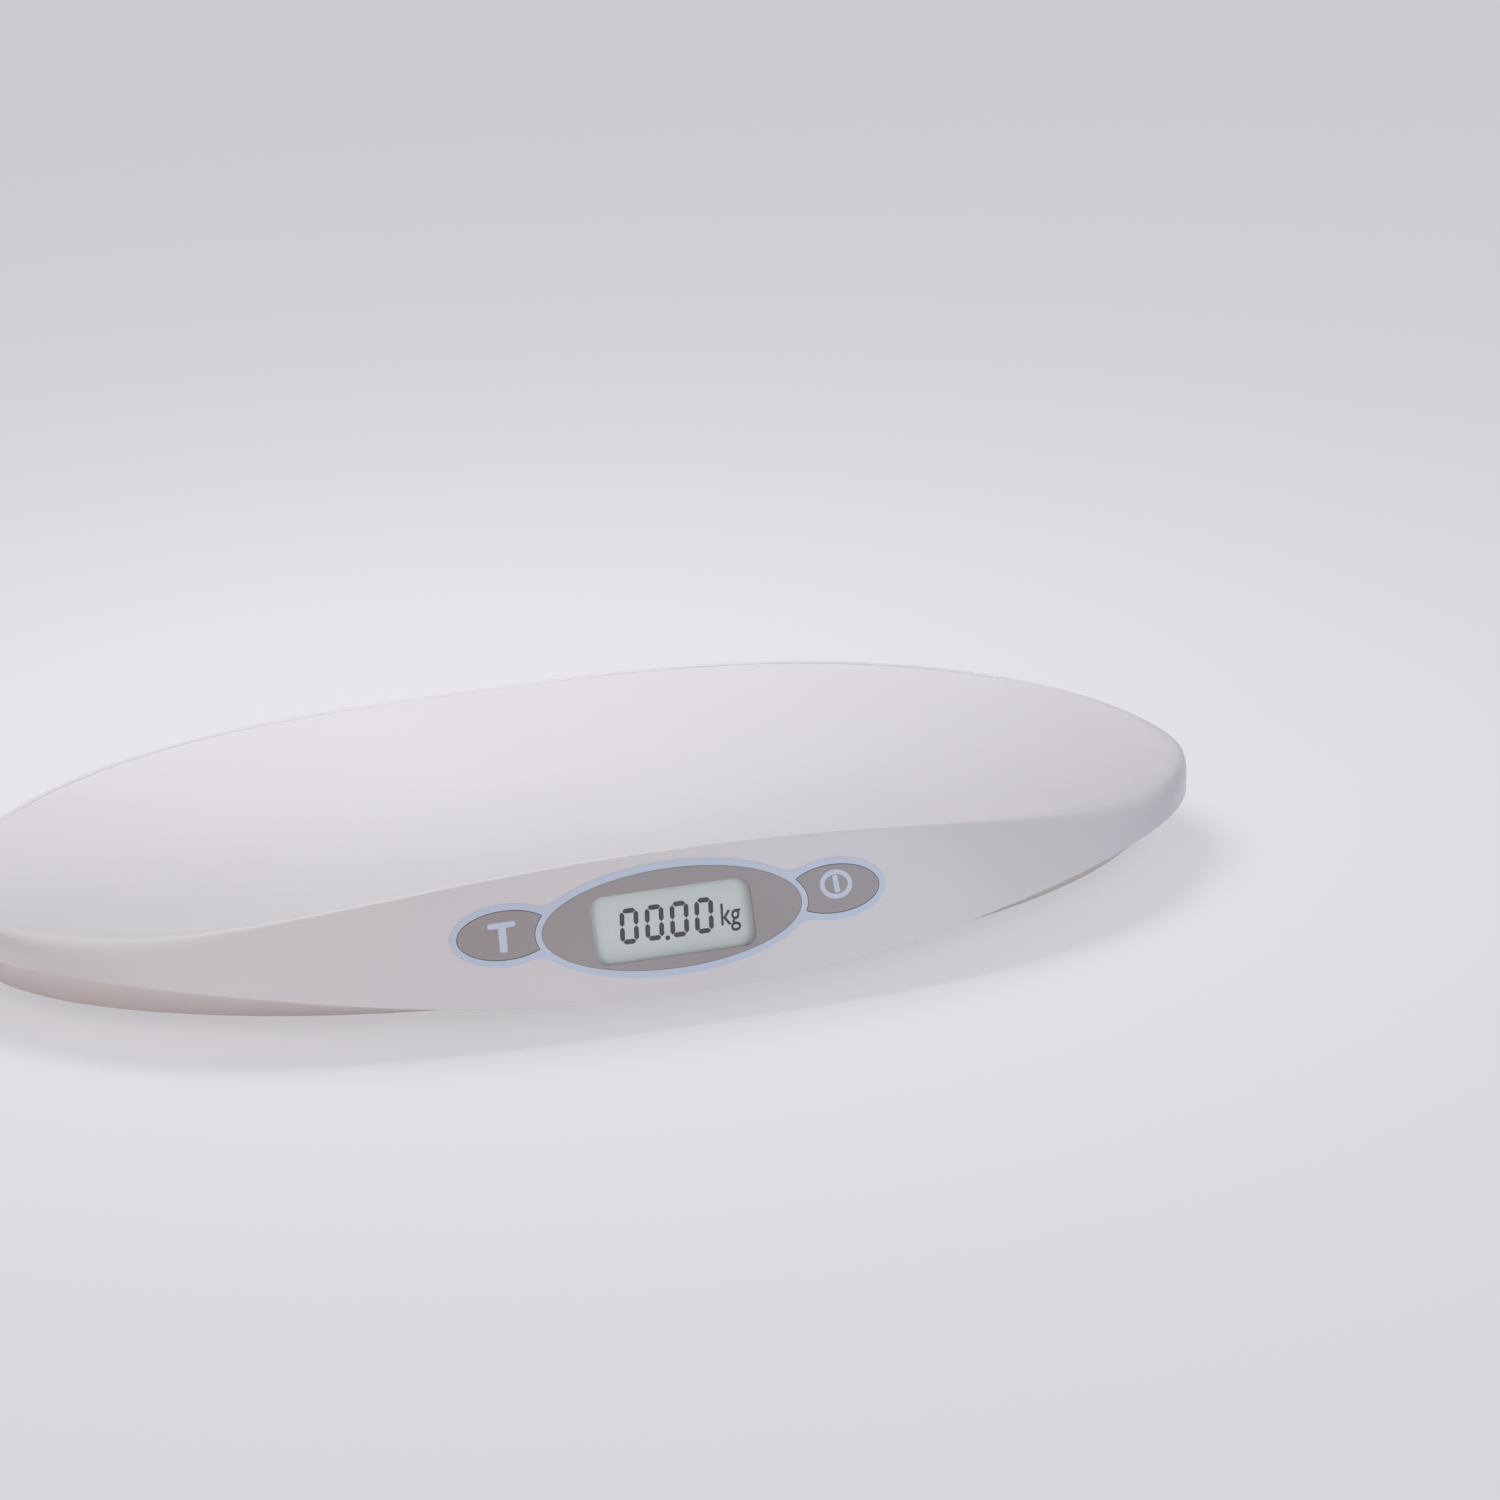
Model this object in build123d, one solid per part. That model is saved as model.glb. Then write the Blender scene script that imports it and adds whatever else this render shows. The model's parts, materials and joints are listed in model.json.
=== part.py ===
from build123d import *

# Digital baby weighing scale: a long boat-shaped tray on a shallow lower casing that stands on four
# load cell feet. The tray's front edge folds down into a leaning face with a display and two keys.
# Frame: +X along the tray towards the power key, -Y towards the user, +Z up. Lengths in millimetres.
# Origin: centre of the four feet, on the surface that the scale stands on.

import os
from math import asin, cos, degrees, pi, sin

# ---------------------------------------------------------------- driving dimensions: the tray
TRAY_LENGTH = 600.0  # nose to nose
TRAY_DEPTH = 314.0  # front lower edge to rear rim
PLAN_NOSE = 2.65  # exponent of the oval's length: higher is blunter
PLAN_FLANK = 0.55  # exponent of the oval's depth: lower is fuller
TRAY_WALL = 2.8
DISH_WALL = 3.1  # the same skin under the dish, measured upright
DISH_FLOOR = 33.0  # lowest point of the weighing surface
NOSE_HEIGHT = 45.0  # weighing surface at both noses
REAR_RISE = 24.0  # rear rim above the dish floor
FRONT_RISE = 61.0  # rise of the front side, carried out to the full depth
FRONT_FADE = 46.0  # how much of that rise is lost towards the noses
FRONT_REGAIN = 28.0  # and how much of it comes back right at the noses
CREST_SETBACK = 23.0  # front crest behind the lower edge: the lean of the front face
SETBACK_FADE = 6.0  # how late that setback runs out towards the noses
NOSE_UNDERCUT = 2.0  # lower edge behind the nose
REAR_UNDERCUT = 12.0  # lower edge inside the rear rim
EDGE_CENTRE = 14.0  # lower edge above the table, at the middle
EDGE_NOSE = 29.0  # lower edge above the table, at the noses
EDGE_SWEEP = 3.6  # how early the lower edge climbs

# ---------------------------------------------------------------- driving dimensions: the lower casing
CASING_WALL = 2.4
FLOOR_HEIGHT = 7.0  # underside of the casing above the table
FLOOR_INSET = 31.0  # flat underside inside the tray's outline, front and rear
FLOOR_NOSE_INSET = 20.0  # the same at the noses
FLOOR_NOSE = 2.2  # exponents of the underside's oval, which is more pointed than the tray's
FLOOR_FLANK = 0.62
SEAM = 0.3  # gap between tray and casing
SEAM_STEP = 1.2  # casing behind the tray's skin at the seam
RIB = 1.6
RIB_HEIGHT = 6.0
RIB_ROOT = 1.0  # ribs start inside the floor
CROSS_RIBS = (60.0, 100.0, 205.0)  # distances of the cross ribs from the middle
LONG_RIB = 32.0  # distance of the long ribs from the middle

# ---------------------------------------------------------------- driving dimensions: the panel
PANEL_RISE = 34.4  # panel centre above the lower edge, measured up the slope
FASCIA_LENGTH = 123.0
FASCIA_HEIGHT = 45.0
BORDER = 3.2
BORDER_BLEND = 14.0
KEY_PITCH = 77.8
KEY_RISE = 2.8
KEY_LENGTH = 44.0
KEY_HEIGHT = 21.6
KEY_GAP = 0.3
KEY_TRAVEL = 0.8
KEY_FLANGE = 1.2  # thickness of the flange that holds the key behind the skin
KEY_LAP = 1.1  # flange behind the skin, all round
KEY_PLAY = 0.15  # between flange and skin
PANEL_PROUD = 0.4
FASCIA_PROUD = 0.3
PANEL_SEAT = 1.2
FASCIA_GAP = 0.15
WINDOW_LENGTH = 76.0
WINDOW_HEIGHT = 31.0
WINDOW_DROP = 1.6  # window centre below the panel centre
WINDOW_ROUND = 6.0
LENS_LAP = 1.2
LENS_THICK = 1.1

# ---------------------------------------------------------------- driving dimensions: behind the panel
LCD_LENGTH = 84.0
LCD_HEIGHT = 38.0
LCD_THICK = 2.8
LCD_LEDGE = 2.0  # rear plate longer than the front plate, for its contacts
LCD_PLAY = 0.2  # round the glass in its holder
LCD_DEPTH = 4.0  # front of the display glass behind the panel plane
BOARD_LENGTH = 186.0
BOARD_HEIGHT = 38.0
BOARD_THICK = 1.6
BOARD_DEPTH = 13.5  # front of the board behind the panel plane
BOARD_ROUND = 3.0
HOLDER_WALL = 1.6
HOLDER_SHELF = 4.0  # ledge under the glass, all round
STRIP_WIDTH = 1.8
STRIP_PLAY = 0.1
SWITCH_SIZE = 6.0
SWITCH_HEIGHT = 3.5
SWITCH_FLOOR = 0.5
PLUNGER_RADIUS = 1.75
PLUNGER_GAP = 0.05  # all round, in the switch body
PLUNGER_SPARE = 0.4  # plunger left standing when it is pressed
STEM_RADIUS = 2.6
POST_RADIUS = 3.2
POST_X = 50.0
POST_Y = 14.5
BOARD_SCREW_RADIUS = 1.25
BOARD_SCREW_LENGTH = 8.0
BOARD_SCREW_HEAD = 1.6
BOARD_HEAD_RADIUS = 2.5
POST_STOP = 1.0  # pilot holes past the screw's end
HOLE_PLAY = 0.25  # screws through clearance holes, all round
CHIP_SIZE = 14.0
CHIP_HEIGHT = 1.6
CHIP_SPOT = (-24.0, 2.0)
BUZZER_RADIUS = 6.0
BUZZER_HEIGHT = 5.0
BUZZER_RISE = 6.0
CONNECTOR = (16.0, 6.0, 6.5)
CONNECTOR_SPOT = (20.0, -10.0)

# ---------------------------------------------------------------- driving dimensions: feet and load cells
FOOT_X = 168.0
FOOT_Y = 62.0
FOOT_RADIUS = 17.0
FOOT_EDGE = 1.2
FOOT_CLEARANCE = 1.5  # foot below the casing: room for the load cell to bend
PAD_RADIUS = 14.5
PAD_THICK = 2.6
PAD_PROUD = 1.4
PAD_EDGE = 0.6
PAD_PLAY = 0.1
NECK_RADIUS = 6.5
NECK_CLEARANCE = 1.5
CELL_LENGTH = 60.0
CELL_WIDTH = 13.0
CELL_HEIGHT = 12.0
CELL_LIFT = 5.0  # load cell above the casing floor
CELL_BORE = 4.3
CELL_BORE_PITCH = 13.0
CELL_END = 9.0  # foot stud from the cell's end
STUD_RADIUS = 3.0
STUD_LENGTH = 10.0
CELL_SCREW_RADIUS = 2.0
CELL_SCREW_PITCH = 12.0
CELL_SCREW_BITE = 5.5
CELL_SCREW_END = 6.0  # first screw from the cell's inner end
CELL_SCREW_HEAD = 2.6
CELL_SCREW_FLATS = 3.5  # half the width across the flats of the hexagon head
CELL_SCREW_PLAY = 0.2
CELL_BORE_SHIFT = 3.0  # bores nearer to the foot than the cell's middle
CELL_SLOT = 3.0
CELL_PLAY = 1.5  # room beside the cell
PLINTH_REACH = 5.0  # plinth past its screws
PLINTH_STOP = 0.5  # pilot hole past the screw's end

# ---------------------------------------------------------------- driving dimensions: batteries and door
BATTERY_RADIUS = 7.15
BATTERY_LENGTH = 50.0
BATTERY_COUNT = 4
BATTERY_PITCH = 15.0
BATTERY_Y = 42.0
CONTACT_THICK = 0.5
CONTACT_REACH = 5.0  # half the width and height of a contact
SPRING_LENGTH = 5.0  # pressed length of a sprung leaf, less its thickness
LEAF_WIDTH = 6.0
LEAF_FLAT = 1.0  # half the flat that touches the battery
LEAF_CURL = 1.8
NUB_RADIUS = 2.75
NUB_LENGTH = 1.0
BOX_WALL = 1.8
BOX_AIR = 0.5
DOOR_THICK = 2.2
DOOR_LEDGE = 1.6
DOOR_GAP = 0.35
DOOR_PIN_RADIUS = 0.9
DOOR_PIN_LENGTH = 1.3
PIN_CLEARANCE = 0.08
LATCH_WIDTH = 14.0
LATCH_REACH = 5.0
TONGUE_LAP = 2.0
GRIP_LINES = 4
GRIP_START = 4.0
GRIP_PITCH = 3.0
GRIP_WIDTH = 1.2
GRIP_DEPTH = 0.6

# ---------------------------------------------------------------- driving dimensions: casing screws
SCREW_SPOTS = ((240.0, 0.0), (-240.0, 0.0), (112.0, 90.0), (-112.0, 90.0), (112.0, -84.0), (-112.0, -84.0))
SCREW_RADIUS = 1.5
SCREW_LENGTH = 18.0
HEAD_RADIUS = 2.9
HEAD_HEIGHT = 2.0
BOSS_RADIUS = 4.6
BOSS_SPLIT = 15.0  # height at which the casing's post meets the tray's
THREAD_GAP = 0.05
HEAD_SINK = 1.2

# ---------------------------------------------------------------- values that follow from them
HALF_LENGTH = TRAY_LENGTH / 2
HALF_DEPTH = TRAY_DEPTH / 2
FLOOR_TOP = FLOOR_HEIGHT + CASING_WALL
X_AXIS = Vector(1, 0, 0)
SPANS = 3  # curve pieces along each quarter of the oval
REACH = 30.0  # how far construction solids run past the part
RUN = 10.0  # the same for the sides, upwards
RUN_DOWN = 3.0  # and downwards


def depth_at(t, half_depth, nose=PLAN_NOSE, flank=PLAN_FLANK):
    """Half depth of the pointed oval at the fraction t of its half length."""
    return half_depth * (1 - min(1.0, abs(t)) ** nose) ** flank


def dish_height(x, y):
    """Height of the weighing surface: a dish that rises more to the front than to the rear."""
    t = x / HALF_LENGTH
    valley = DISH_FLOOR + (NOSE_HEIGHT - DISH_FLOOR) * (t**2 + t**4) / 2
    front = FRONT_RISE - FRONT_FADE * t**2 + FRONT_REGAIN * t**4
    u = y / HALF_DEPTH
    return valley + (front + REAR_RISE) / 2 * u**2 - (front - REAR_RISE) / 2 * u**3


FACE_FOOT = Vector(0, -HALF_DEPTH, EDGE_CENTRE)
CREST = Vector(0, CREST_SETBACK - HALF_DEPTH, dish_height(0, CREST_SETBACK - HALF_DEPTH))
SLOPE_UP = (CREST - FACE_FOOT).normalized()
LEAN = asin(SLOPE_UP.Y)  # angle by which the front face leans back from upright
PANEL = Plane(origin=FACE_FOOT + SLOPE_UP * PANEL_RISE, x_dir=X_AXIS, z_dir=X_AXIS.cross(SLOPE_UP))
WINDOW_Y = -WINDOW_DROP


def edge_height(x):
    """Height of the tray's lower edge, which is the seam with the lower casing."""
    t = abs(x) / HALF_LENGTH
    return EDGE_CENTRE + (EDGE_NOSE - EDGE_CENTRE) * (EDGE_SWEEP * t**2 - (EDGE_SWEEP - 1) * t**4)


def crest_point(t, side, inset):
    """Point of the rim: the rear rim where side is +1, the front crest where it is -1."""
    y = depth_at(t, HALF_DEPTH - inset)
    if side < 0:
        y = max(0.0, y - CREST_SETBACK * (1 - abs(t) ** SETBACK_FADE))
    x = t * (HALF_LENGTH - inset)
    return Vector(x, side * y, dish_height(x, side * y))


def edge_point(t, side, inset):
    """Point of the tray's lower edge."""
    undercut = REAR_UNDERCUT if side > 0 else 0.0
    x = t * (HALF_LENGTH - NOSE_UNDERCUT - inset)
    return Vector(x, side * depth_at(t, HALF_DEPTH - undercut - inset), edge_height(x))


def seam_point(t, side, inset):
    """Point of the lower casing's upper edge, stepped back behind the tray's skin."""
    return edge_point(t, side, inset + SEAM_STEP)


def floor_point(t, side, inset):
    """Point round the flat underside of the lower casing."""
    x = t * (HALF_LENGTH - FLOOR_NOSE_INSET - inset)
    y = depth_at(t, HALF_DEPTH - FLOOR_INSET - inset, FLOOR_NOSE, FLOOR_FLANK)
    return Vector(x, side * y, FLOOR_HEIGHT)


def ring(lower, upper, level, inset, lift):
    """Closed outline at one level of the surface that runs straight from the lower to the upper curve."""

    def point(turn, side):
        t = sin(turn)
        low, high = lower(t, side, inset), upper(t, side, inset)
        share = (level - lift - low.Z) / (high.Z - low.Z)
        at = low + (high - low) * share
        return Vector(at.X, at.Y, level)

    def heading(turn, side, way):
        if abs(turn) > pi / 2 - 0.001:
            return Vector(0, side if way * turn < 0 else -side, 0)
        return (point(turn + way * 0.01, side) - point(turn - way * 0.01, side)).normalized()

    pieces = []
    for side in (1, -1):
        turns = [-side * pi / 2 * i / (3 * SPANS) for i in range(-3 * SPANS, 3 * SPANS + 1)]
        for first in range(0, 6 * SPANS, 3):
            span = turns[first : first + 4]
            headings = [heading(turn, side, -side) for turn in (span[0], span[-1])]
            pieces.append(Edge.make_spline([point(turn, side) for turn in span], tangents=headings))
    return Wire(pieces)


def hull(lower, upper, bottom, top, inset=0.0, lift=0.0):
    """Solid between two levels whose side runs straight through two curves, inset and lifted as asked."""
    return Solid.make_loft([ring(lower, upper, z, inset, lift) for z in (bottom, top)], ruled=True)


def tray_hull(inset):
    """Side of the tray, carried past its lower edge and its rim."""
    return hull(edge_point, crest_point, FLOOR_HEIGHT - RUN_DOWN, CREST.Z + RUN, inset)


def casing_hull(inset, lift):
    """Side of the lower casing, carried past its upper edge."""
    return hull(floor_point, seam_point, FLOOR_HEIGHT + lift, EDGE_NOSE + RUN, inset, lift)


def above_dish(drop):
    """Everything above the weighing surface lowered by drop."""
    wide, deep = HALF_LENGTH + REACH, HALF_DEPTH + REACH
    columns = [wide * (i / 8 - 1) for i in range(17)]
    rows = [deep * (i / 5 - 1) for i in range(11)]
    grid = [[Vector(x, y, dish_height(x, y) - drop) for y in rows] for x in columns]
    face = Face.make_surface_from_array_of_points(grid, tol=0.02, min_deg=6, max_deg=8)
    return Solid.extrude(face, Vector(0, 0, TRAY_DEPTH))


def beneath_edge(drop):
    """Everything beneath the tray's lower edge, lowered by drop."""
    wide = HALF_LENGTH + REACH
    spots = [wide * (i / 10 - 1) for i in range(21)]
    top = Edge.make_spline([Vector(x, 0, edge_height(x) - drop) for x in spots])
    low = [Vector(wide, 0, -REACH), Vector(-wide, 0, -REACH)]
    sides = [Edge.make_line(a, b) for a, b in zip([top @ 1, *low], [*low, top @ 0])]
    return extrude(Face(Wire([top, *sides])), TRAY_DEPTH, dir=(0, 1, 0), both=True)


def block(x0, x1, y0, y1, z0, z1):
    """Box between six limits."""
    return Pos((x0 + x1) / 2, (y0 + y1) / 2, (z0 + z1) / 2) * Box(x1 - x0, y1 - y0, z1 - z0)


def rod(x, y, z0, z1, radius):
    """Upright cylinder between two heights."""
    return Pos(x, y, (z0 + z1) / 2) * Cylinder(radius, z1 - z0)


def through(sketch):
    """Prism of a panel sketch that runs right through the front face."""
    return extrude(PANEL * sketch, REACH, both=True)


def behind(sketch, near, far):
    """Prism of a panel sketch between two depths behind the panel plane."""
    return extrude(PANEL * Pos(0, 0, -far) * sketch, far - near)


def layer(sketch, near, far):
    """Part of the front face's skin under a panel sketch, between two depths below its surface."""
    return (through(sketch) & tray_hull(near / cos(LEAN))) - tray_hull(far / cos(LEAN))


def save(name, *solids):
    """Write one sub-part."""
    shape = solids[0] if len(solids) == 1 else Compound(children=list(solids))
    shape.label = name
    export_step(shape, f"parts/{name}.step")


# ---------------------------------------------------------------- panel outlines


def key_sketch(side, grow=0.0):
    """Leaf-shaped key outline: an oval tucked behind the fascia's border."""
    oval = Pos(side * KEY_PITCH, KEY_RISE) * Ellipse(KEY_LENGTH / 2 + grow, KEY_HEIGHT / 2 + grow)
    return oval - Ellipse(FASCIA_LENGTH / 2 + BORDER - grow, FASCIA_HEIGHT / 2 + BORDER - grow)


def border_outline():
    """Outer outline of the border: three ovals grown by its width, with blended waists."""
    outline = Ellipse(FASCIA_LENGTH / 2 + BORDER, FASCIA_HEIGHT / 2 + BORDER)
    for side in (-1, 1):
        oval = Ellipse(KEY_LENGTH / 2 + BORDER, KEY_HEIGHT / 2 + BORDER)
        outline += Pos(side * KEY_PITCH, KEY_RISE) * oval
    waists = [v for v in outline.vertices() if abs(v.X) < KEY_PITCH]
    return fillet(waists, BORDER_BLEND)


def window_sketch(grow=0.0):
    """Rounded outline of the display window."""
    window = RectangleRounded(WINDOW_LENGTH + 2 * grow, WINDOW_HEIGHT + 2 * grow, WINDOW_ROUND + grow)
    return Pos(0, WINDOW_Y) * window


# ---------------------------------------------------------------- places


def battery_box():
    """Half width, front, rear and ceiling of the battery chamber."""
    half = BATTERY_COUNT * BATTERY_PITCH / 2
    reach = BATTERY_LENGTH / 2 + NUB_LENGTH + CONTACT_THICK
    floor = FLOOR_HEIGHT + DOOR_THICK + BOX_AIR
    return half, BATTERY_Y - reach - SPRING_LENGTH, BATTERY_Y + reach, floor + 2 * BATTERY_RADIUS + BOX_AIR


BOX_HALF, BOX_FRONT, BOX_REAR, BOX_CEILING = battery_box()
BATTERY_Z = BOX_CEILING - BOX_AIR - BATTERY_RADIUS
BATTERY_SPOTS = [BATTERY_PITCH * (i - (BATTERY_COUNT - 1) / 2) for i in range(BATTERY_COUNT)]
LCD_BACK = LCD_DEPTH + LCD_THICK
HOLDER_TOP = LCD_DEPTH + LCD_THICK / 4
BOARD_BACK = BOARD_DEPTH + BOARD_THICK
BOARD_SCREW_END = BOARD_BACK - BOARD_SCREW_LENGTH
SCREW_SEAT = FLOOR_TOP + HEAD_SINK
CELL_FLOOR = FLOOR_TOP + CELL_LIFT
CELL_TOP = CELL_FLOOR + CELL_HEIGHT
SWITCH_TOP = BOARD_DEPTH - SWITCH_HEIGHT
WELL_FLOOR = BOARD_DEPTH - SWITCH_FLOOR
PLUNGER_TIP = SWITCH_TOP - KEY_TRAVEL - PLUNGER_SPARE
DOOR_HALF = BOX_HALF + DOOR_LEDGE
DOOR_FRONT = BOX_FRONT - DOOR_LEDGE
DOOR_REAR = BOX_REAR + DOOR_LEDGE
PIN_Y = DOOR_REAR - DOOR_GAP - DOOR_THICK / 2
PIN_Z = FLOOR_HEIGHT + DOOR_THICK / 2
CORNERS = [(sx, sy) for sy in (-1, 1) for sx in (-1, 1)]


def cell_span(sx):
    """Low and high end in X of the load cell on one side."""
    outer = sx * (FOOT_X + CELL_END)
    inner = outer - sx * CELL_LENGTH
    return min(outer, inner), max(outer, inner)


def cell_screw_spots(sx, sy):
    """Two screws at the load cell's inner end."""
    inner = sx * (FOOT_X + CELL_END - CELL_LENGTH)
    first = inner + sx * CELL_SCREW_END
    return [(first, sy * FOOT_Y), (first + sx * CELL_SCREW_PITCH, sy * FOOT_Y)]


# ---------------------------------------------------------------- mouldings


def tray_shell():
    """Upper moulding: thin skin with the dish, rim, leaning face, panel seat, posts and openings."""
    body = tray_hull(0) - above_dish(0) - beneath_edge(0)
    room = tray_hull(TRAY_WALL) - above_dish(DISH_WALL)
    shell = body - room
    for x, y in SCREW_SPOTS:
        post = rod(x, y, BOSS_SPLIT, CREST.Z, BOSS_RADIUS) & room
        shell += post - rod(x, y, 0, SCREW_SEAT + SCREW_LENGTH + POST_STOP, SCREW_RADIUS + THREAD_GAP)
    for x, y in post_spots():
        post = behind(Pos(x, y) * Circle(POST_RADIUS), 0, BOARD_DEPTH) & room
        bore = Pos(x, y) * Circle(BOARD_SCREW_RADIUS + THREAD_GAP)
        shell += post - behind(bore, BOARD_SCREW_END - POST_STOP, BOARD_DEPTH)
    shell -= layer(border_outline(), -PANEL_PROUD, PANEL_SEAT)
    shell -= behind(window_sketch(LENS_LAP + FASCIA_GAP), -REACH, LCD_DEPTH)
    for side in (-1, 1):
        shell -= behind(key_sketch(side, KEY_GAP), -REACH, BOARD_DEPTH)
    return shell


def lower_casing():
    """Lower moulding: pan with foot openings, load cell plinths, ribs, posts and the battery box."""
    body = casing_hull(0, 0) & beneath_edge(SEAM)
    room = casing_hull(CASING_WALL, CASING_WALL)
    pan = body - room
    inside = room & beneath_edge(SEAM)
    root, rib_top = FLOOR_HEIGHT + RIB_ROOT, FLOOR_TOP + RIB_HEIGHT
    for side in (-1, 1):
        for x in CROSS_RIBS:
            at = side * x
            pan += block(at - RIB / 2, at + RIB / 2, -HALF_DEPTH, HALF_DEPTH, root, rib_top) & inside
        at = side * LONG_RIB
        pan += block(-HALF_LENGTH, HALF_LENGTH, at - RIB / 2, at + RIB / 2, root, rib_top) & inside
    for sx, sy in CORNERS:
        low, high = cell_span(sx)
        keep = CELL_WIDTH / 2 + CELL_PLAY
        near, far = sy * FOOT_Y - keep, sy * FOOT_Y + keep
        pan -= block(low - CELL_PLAY, high + CELL_PLAY, near, far, FLOOR_TOP, rib_top)
        spots = cell_screw_spots(sx, sy)
        ends = sorted(x for x, _ in spots)
        pan += block(ends[0] - PLINTH_REACH, ends[1] + PLINTH_REACH, near, far, FLOOR_HEIGHT, CELL_FLOOR)
        pilot = CELL_FLOOR - CELL_SCREW_BITE - PLINTH_STOP
        for x, y in spots:
            pan -= rod(x, y, pilot, CELL_TOP, CELL_SCREW_RADIUS + THREAD_GAP)
        pan -= rod(sx * FOOT_X, sy * FOOT_Y, 0, CELL_FLOOR, NECK_RADIUS + NECK_CLEARANCE)
    for x, y in SCREW_SPOTS:
        pan += rod(x, y, FLOOR_HEIGHT, BOSS_SPLIT, BOSS_RADIUS)
        pan -= rod(x, y, 0, SCREW_SEAT, HEAD_RADIUS + HOLE_PLAY)
        pan -= rod(x, y, 0, BOSS_SPLIT, SCREW_RADIUS + HOLE_PLAY)
    chamber_top = BOX_CEILING + BOX_WALL
    wall = DOOR_LEDGE + BOX_WALL
    pan += block(
        -BOX_HALF - wall, BOX_HALF + wall, BOX_FRONT - wall, BOX_REAR + wall, FLOOR_HEIGHT, chamber_top
    )
    pan -= block(-BOX_HALF, BOX_HALF, BOX_FRONT, BOX_REAR, 0, BOX_CEILING)
    recess = FLOOR_HEIGHT + DOOR_THICK + DOOR_GAP
    pan -= block(-DOOR_HALF, DOOR_HALF, DOOR_FRONT, DOOR_REAR, 0, recess)
    notch = LATCH_WIDTH / 2 + DOOR_GAP
    pan -= block(-notch, notch, DOOR_FRONT - LATCH_REACH, DOOR_FRONT, 0, recess)
    socket = 2 * (DOOR_HALF + DOOR_PIN_LENGTH)
    pan -= Pos(0, PIN_Y, PIN_Z) * Rot(0, 90, 0) * Cylinder(DOOR_PIN_RADIUS + PIN_CLEARANCE, socket)
    return pan


def battery_door():
    """Door plate with a rounded hinge edge, two pins, a latch tongue and grip lines."""
    half = DOOR_HALF - DOOR_GAP
    top = FLOOR_HEIGHT + DOOR_THICK
    door = block(-half, half, DOOR_FRONT + DOOR_GAP, PIN_Y, FLOOR_HEIGHT, top)
    along = Pos(0, PIN_Y, PIN_Z) * Rot(0, 90, 0)
    door += along * Cylinder(DOOR_THICK / 2, 2 * half)
    door += along * Cylinder(DOOR_PIN_RADIUS, 2 * (DOOR_HALF + DOOR_PIN_LENGTH - DOOR_GAP))
    tongue = LATCH_WIDTH / 2
    front = DOOR_FRONT - LATCH_REACH + DOOR_GAP
    door += block(-tongue, tongue, front, DOOR_FRONT + TONGUE_LAP, FLOOR_HEIGHT, top)
    for i in range(GRIP_LINES):
        y = DOOR_FRONT + GRIP_START + GRIP_PITCH * i
        door -= block(-tongue, tongue, y, y + GRIP_WIDTH, 0, FLOOR_HEIGHT + GRIP_DEPTH)
    return door


# ---------------------------------------------------------------- panel pieces


def panel_border():
    """Raised frame round the fascia and both keys."""
    sketch = border_outline() - Ellipse(FASCIA_LENGTH / 2, FASCIA_HEIGHT / 2)
    for side in (-1, 1):
        sketch -= key_sketch(side, KEY_GAP)
    return layer(sketch, -PANEL_PROUD, PANEL_SEAT)


def display_fascia():
    """Oval plate with the window."""
    oval = Ellipse(FASCIA_LENGTH / 2 - FASCIA_GAP, FASCIA_HEIGHT / 2 - FASCIA_GAP)
    return layer(oval - window_sketch(), -FASCIA_PROUD, PANEL_SEAT)


def display_lens():
    """Clear window behind the fascia."""
    return layer(window_sketch(LENS_LAP), PANEL_SEAT, PANEL_SEAT + LENS_THICK)


def key(side):
    """Key cap with its retaining flange and stem."""
    rest = TRAY_WALL * cos(LEAN) + KEY_PLAY
    cap = layer(key_sketch(side), -PANEL_PROUD, rest + KEY_FLANGE)
    flange = layer(key_sketch(side, KEY_GAP + KEY_LAP), rest, rest + KEY_FLANGE)
    stem = behind(key_spot(side) * Circle(STEM_RADIUS), rest, PLUNGER_TIP)
    return cap + flange + stem


def key_spot(side):
    """Middle of one key in the panel plane."""
    return Pos(side * KEY_PITCH, KEY_RISE)


def plunger(side):
    """Moving plunger of one tact switch, which ends above the switch's floor by its travel."""
    foot = WELL_FLOOR - KEY_TRAVEL - PLUNGER_SPARE
    return behind(key_spot(side) * Circle(PLUNGER_RADIUS), PLUNGER_TIP, foot)


def switch(side):
    """Body of one tact switch, hollow round its plunger."""
    body = behind(key_spot(side) * Rectangle(SWITCH_SIZE, SWITCH_SIZE), SWITCH_TOP, BOARD_DEPTH)
    return body - behind(key_spot(side) * Circle(PLUNGER_RADIUS + PLUNGER_GAP), SWITCH_TOP, WELL_FLOOR)


def lcd_glass():
    """Display glass: two bonded plates, the rear one longer for its contacts."""
    bond = LCD_DEPTH + LCD_THICK / 2
    front = Pos(0, WINDOW_Y + LCD_LEDGE / 2) * Rectangle(LCD_LENGTH, LCD_HEIGHT - LCD_LEDGE)
    rear = Pos(0, WINDOW_Y) * Rectangle(LCD_LENGTH, LCD_HEIGHT)
    return behind(front, LCD_DEPTH, bond) + behind(rear, bond, LCD_BACK)


def lcd_holder():
    """Frame that stands on the board and carries the display glass."""

    def outline(grow):
        return Pos(0, WINDOW_Y) * Rectangle(LCD_LENGTH + 2 * grow, LCD_HEIGHT + 2 * grow)

    frame = behind(outline(LCD_PLAY + HOLDER_WALL), HOLDER_TOP, BOARD_DEPTH)
    frame -= behind(outline(LCD_PLAY), LCD_DEPTH, LCD_BACK)
    frame -= behind(outline(-HOLDER_SHELF), LCD_DEPTH, BOARD_DEPTH)
    for strip in strip_sketches(STRIP_PLAY):
        frame -= behind(strip, LCD_DEPTH, BOARD_DEPTH)
    return frame


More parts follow.
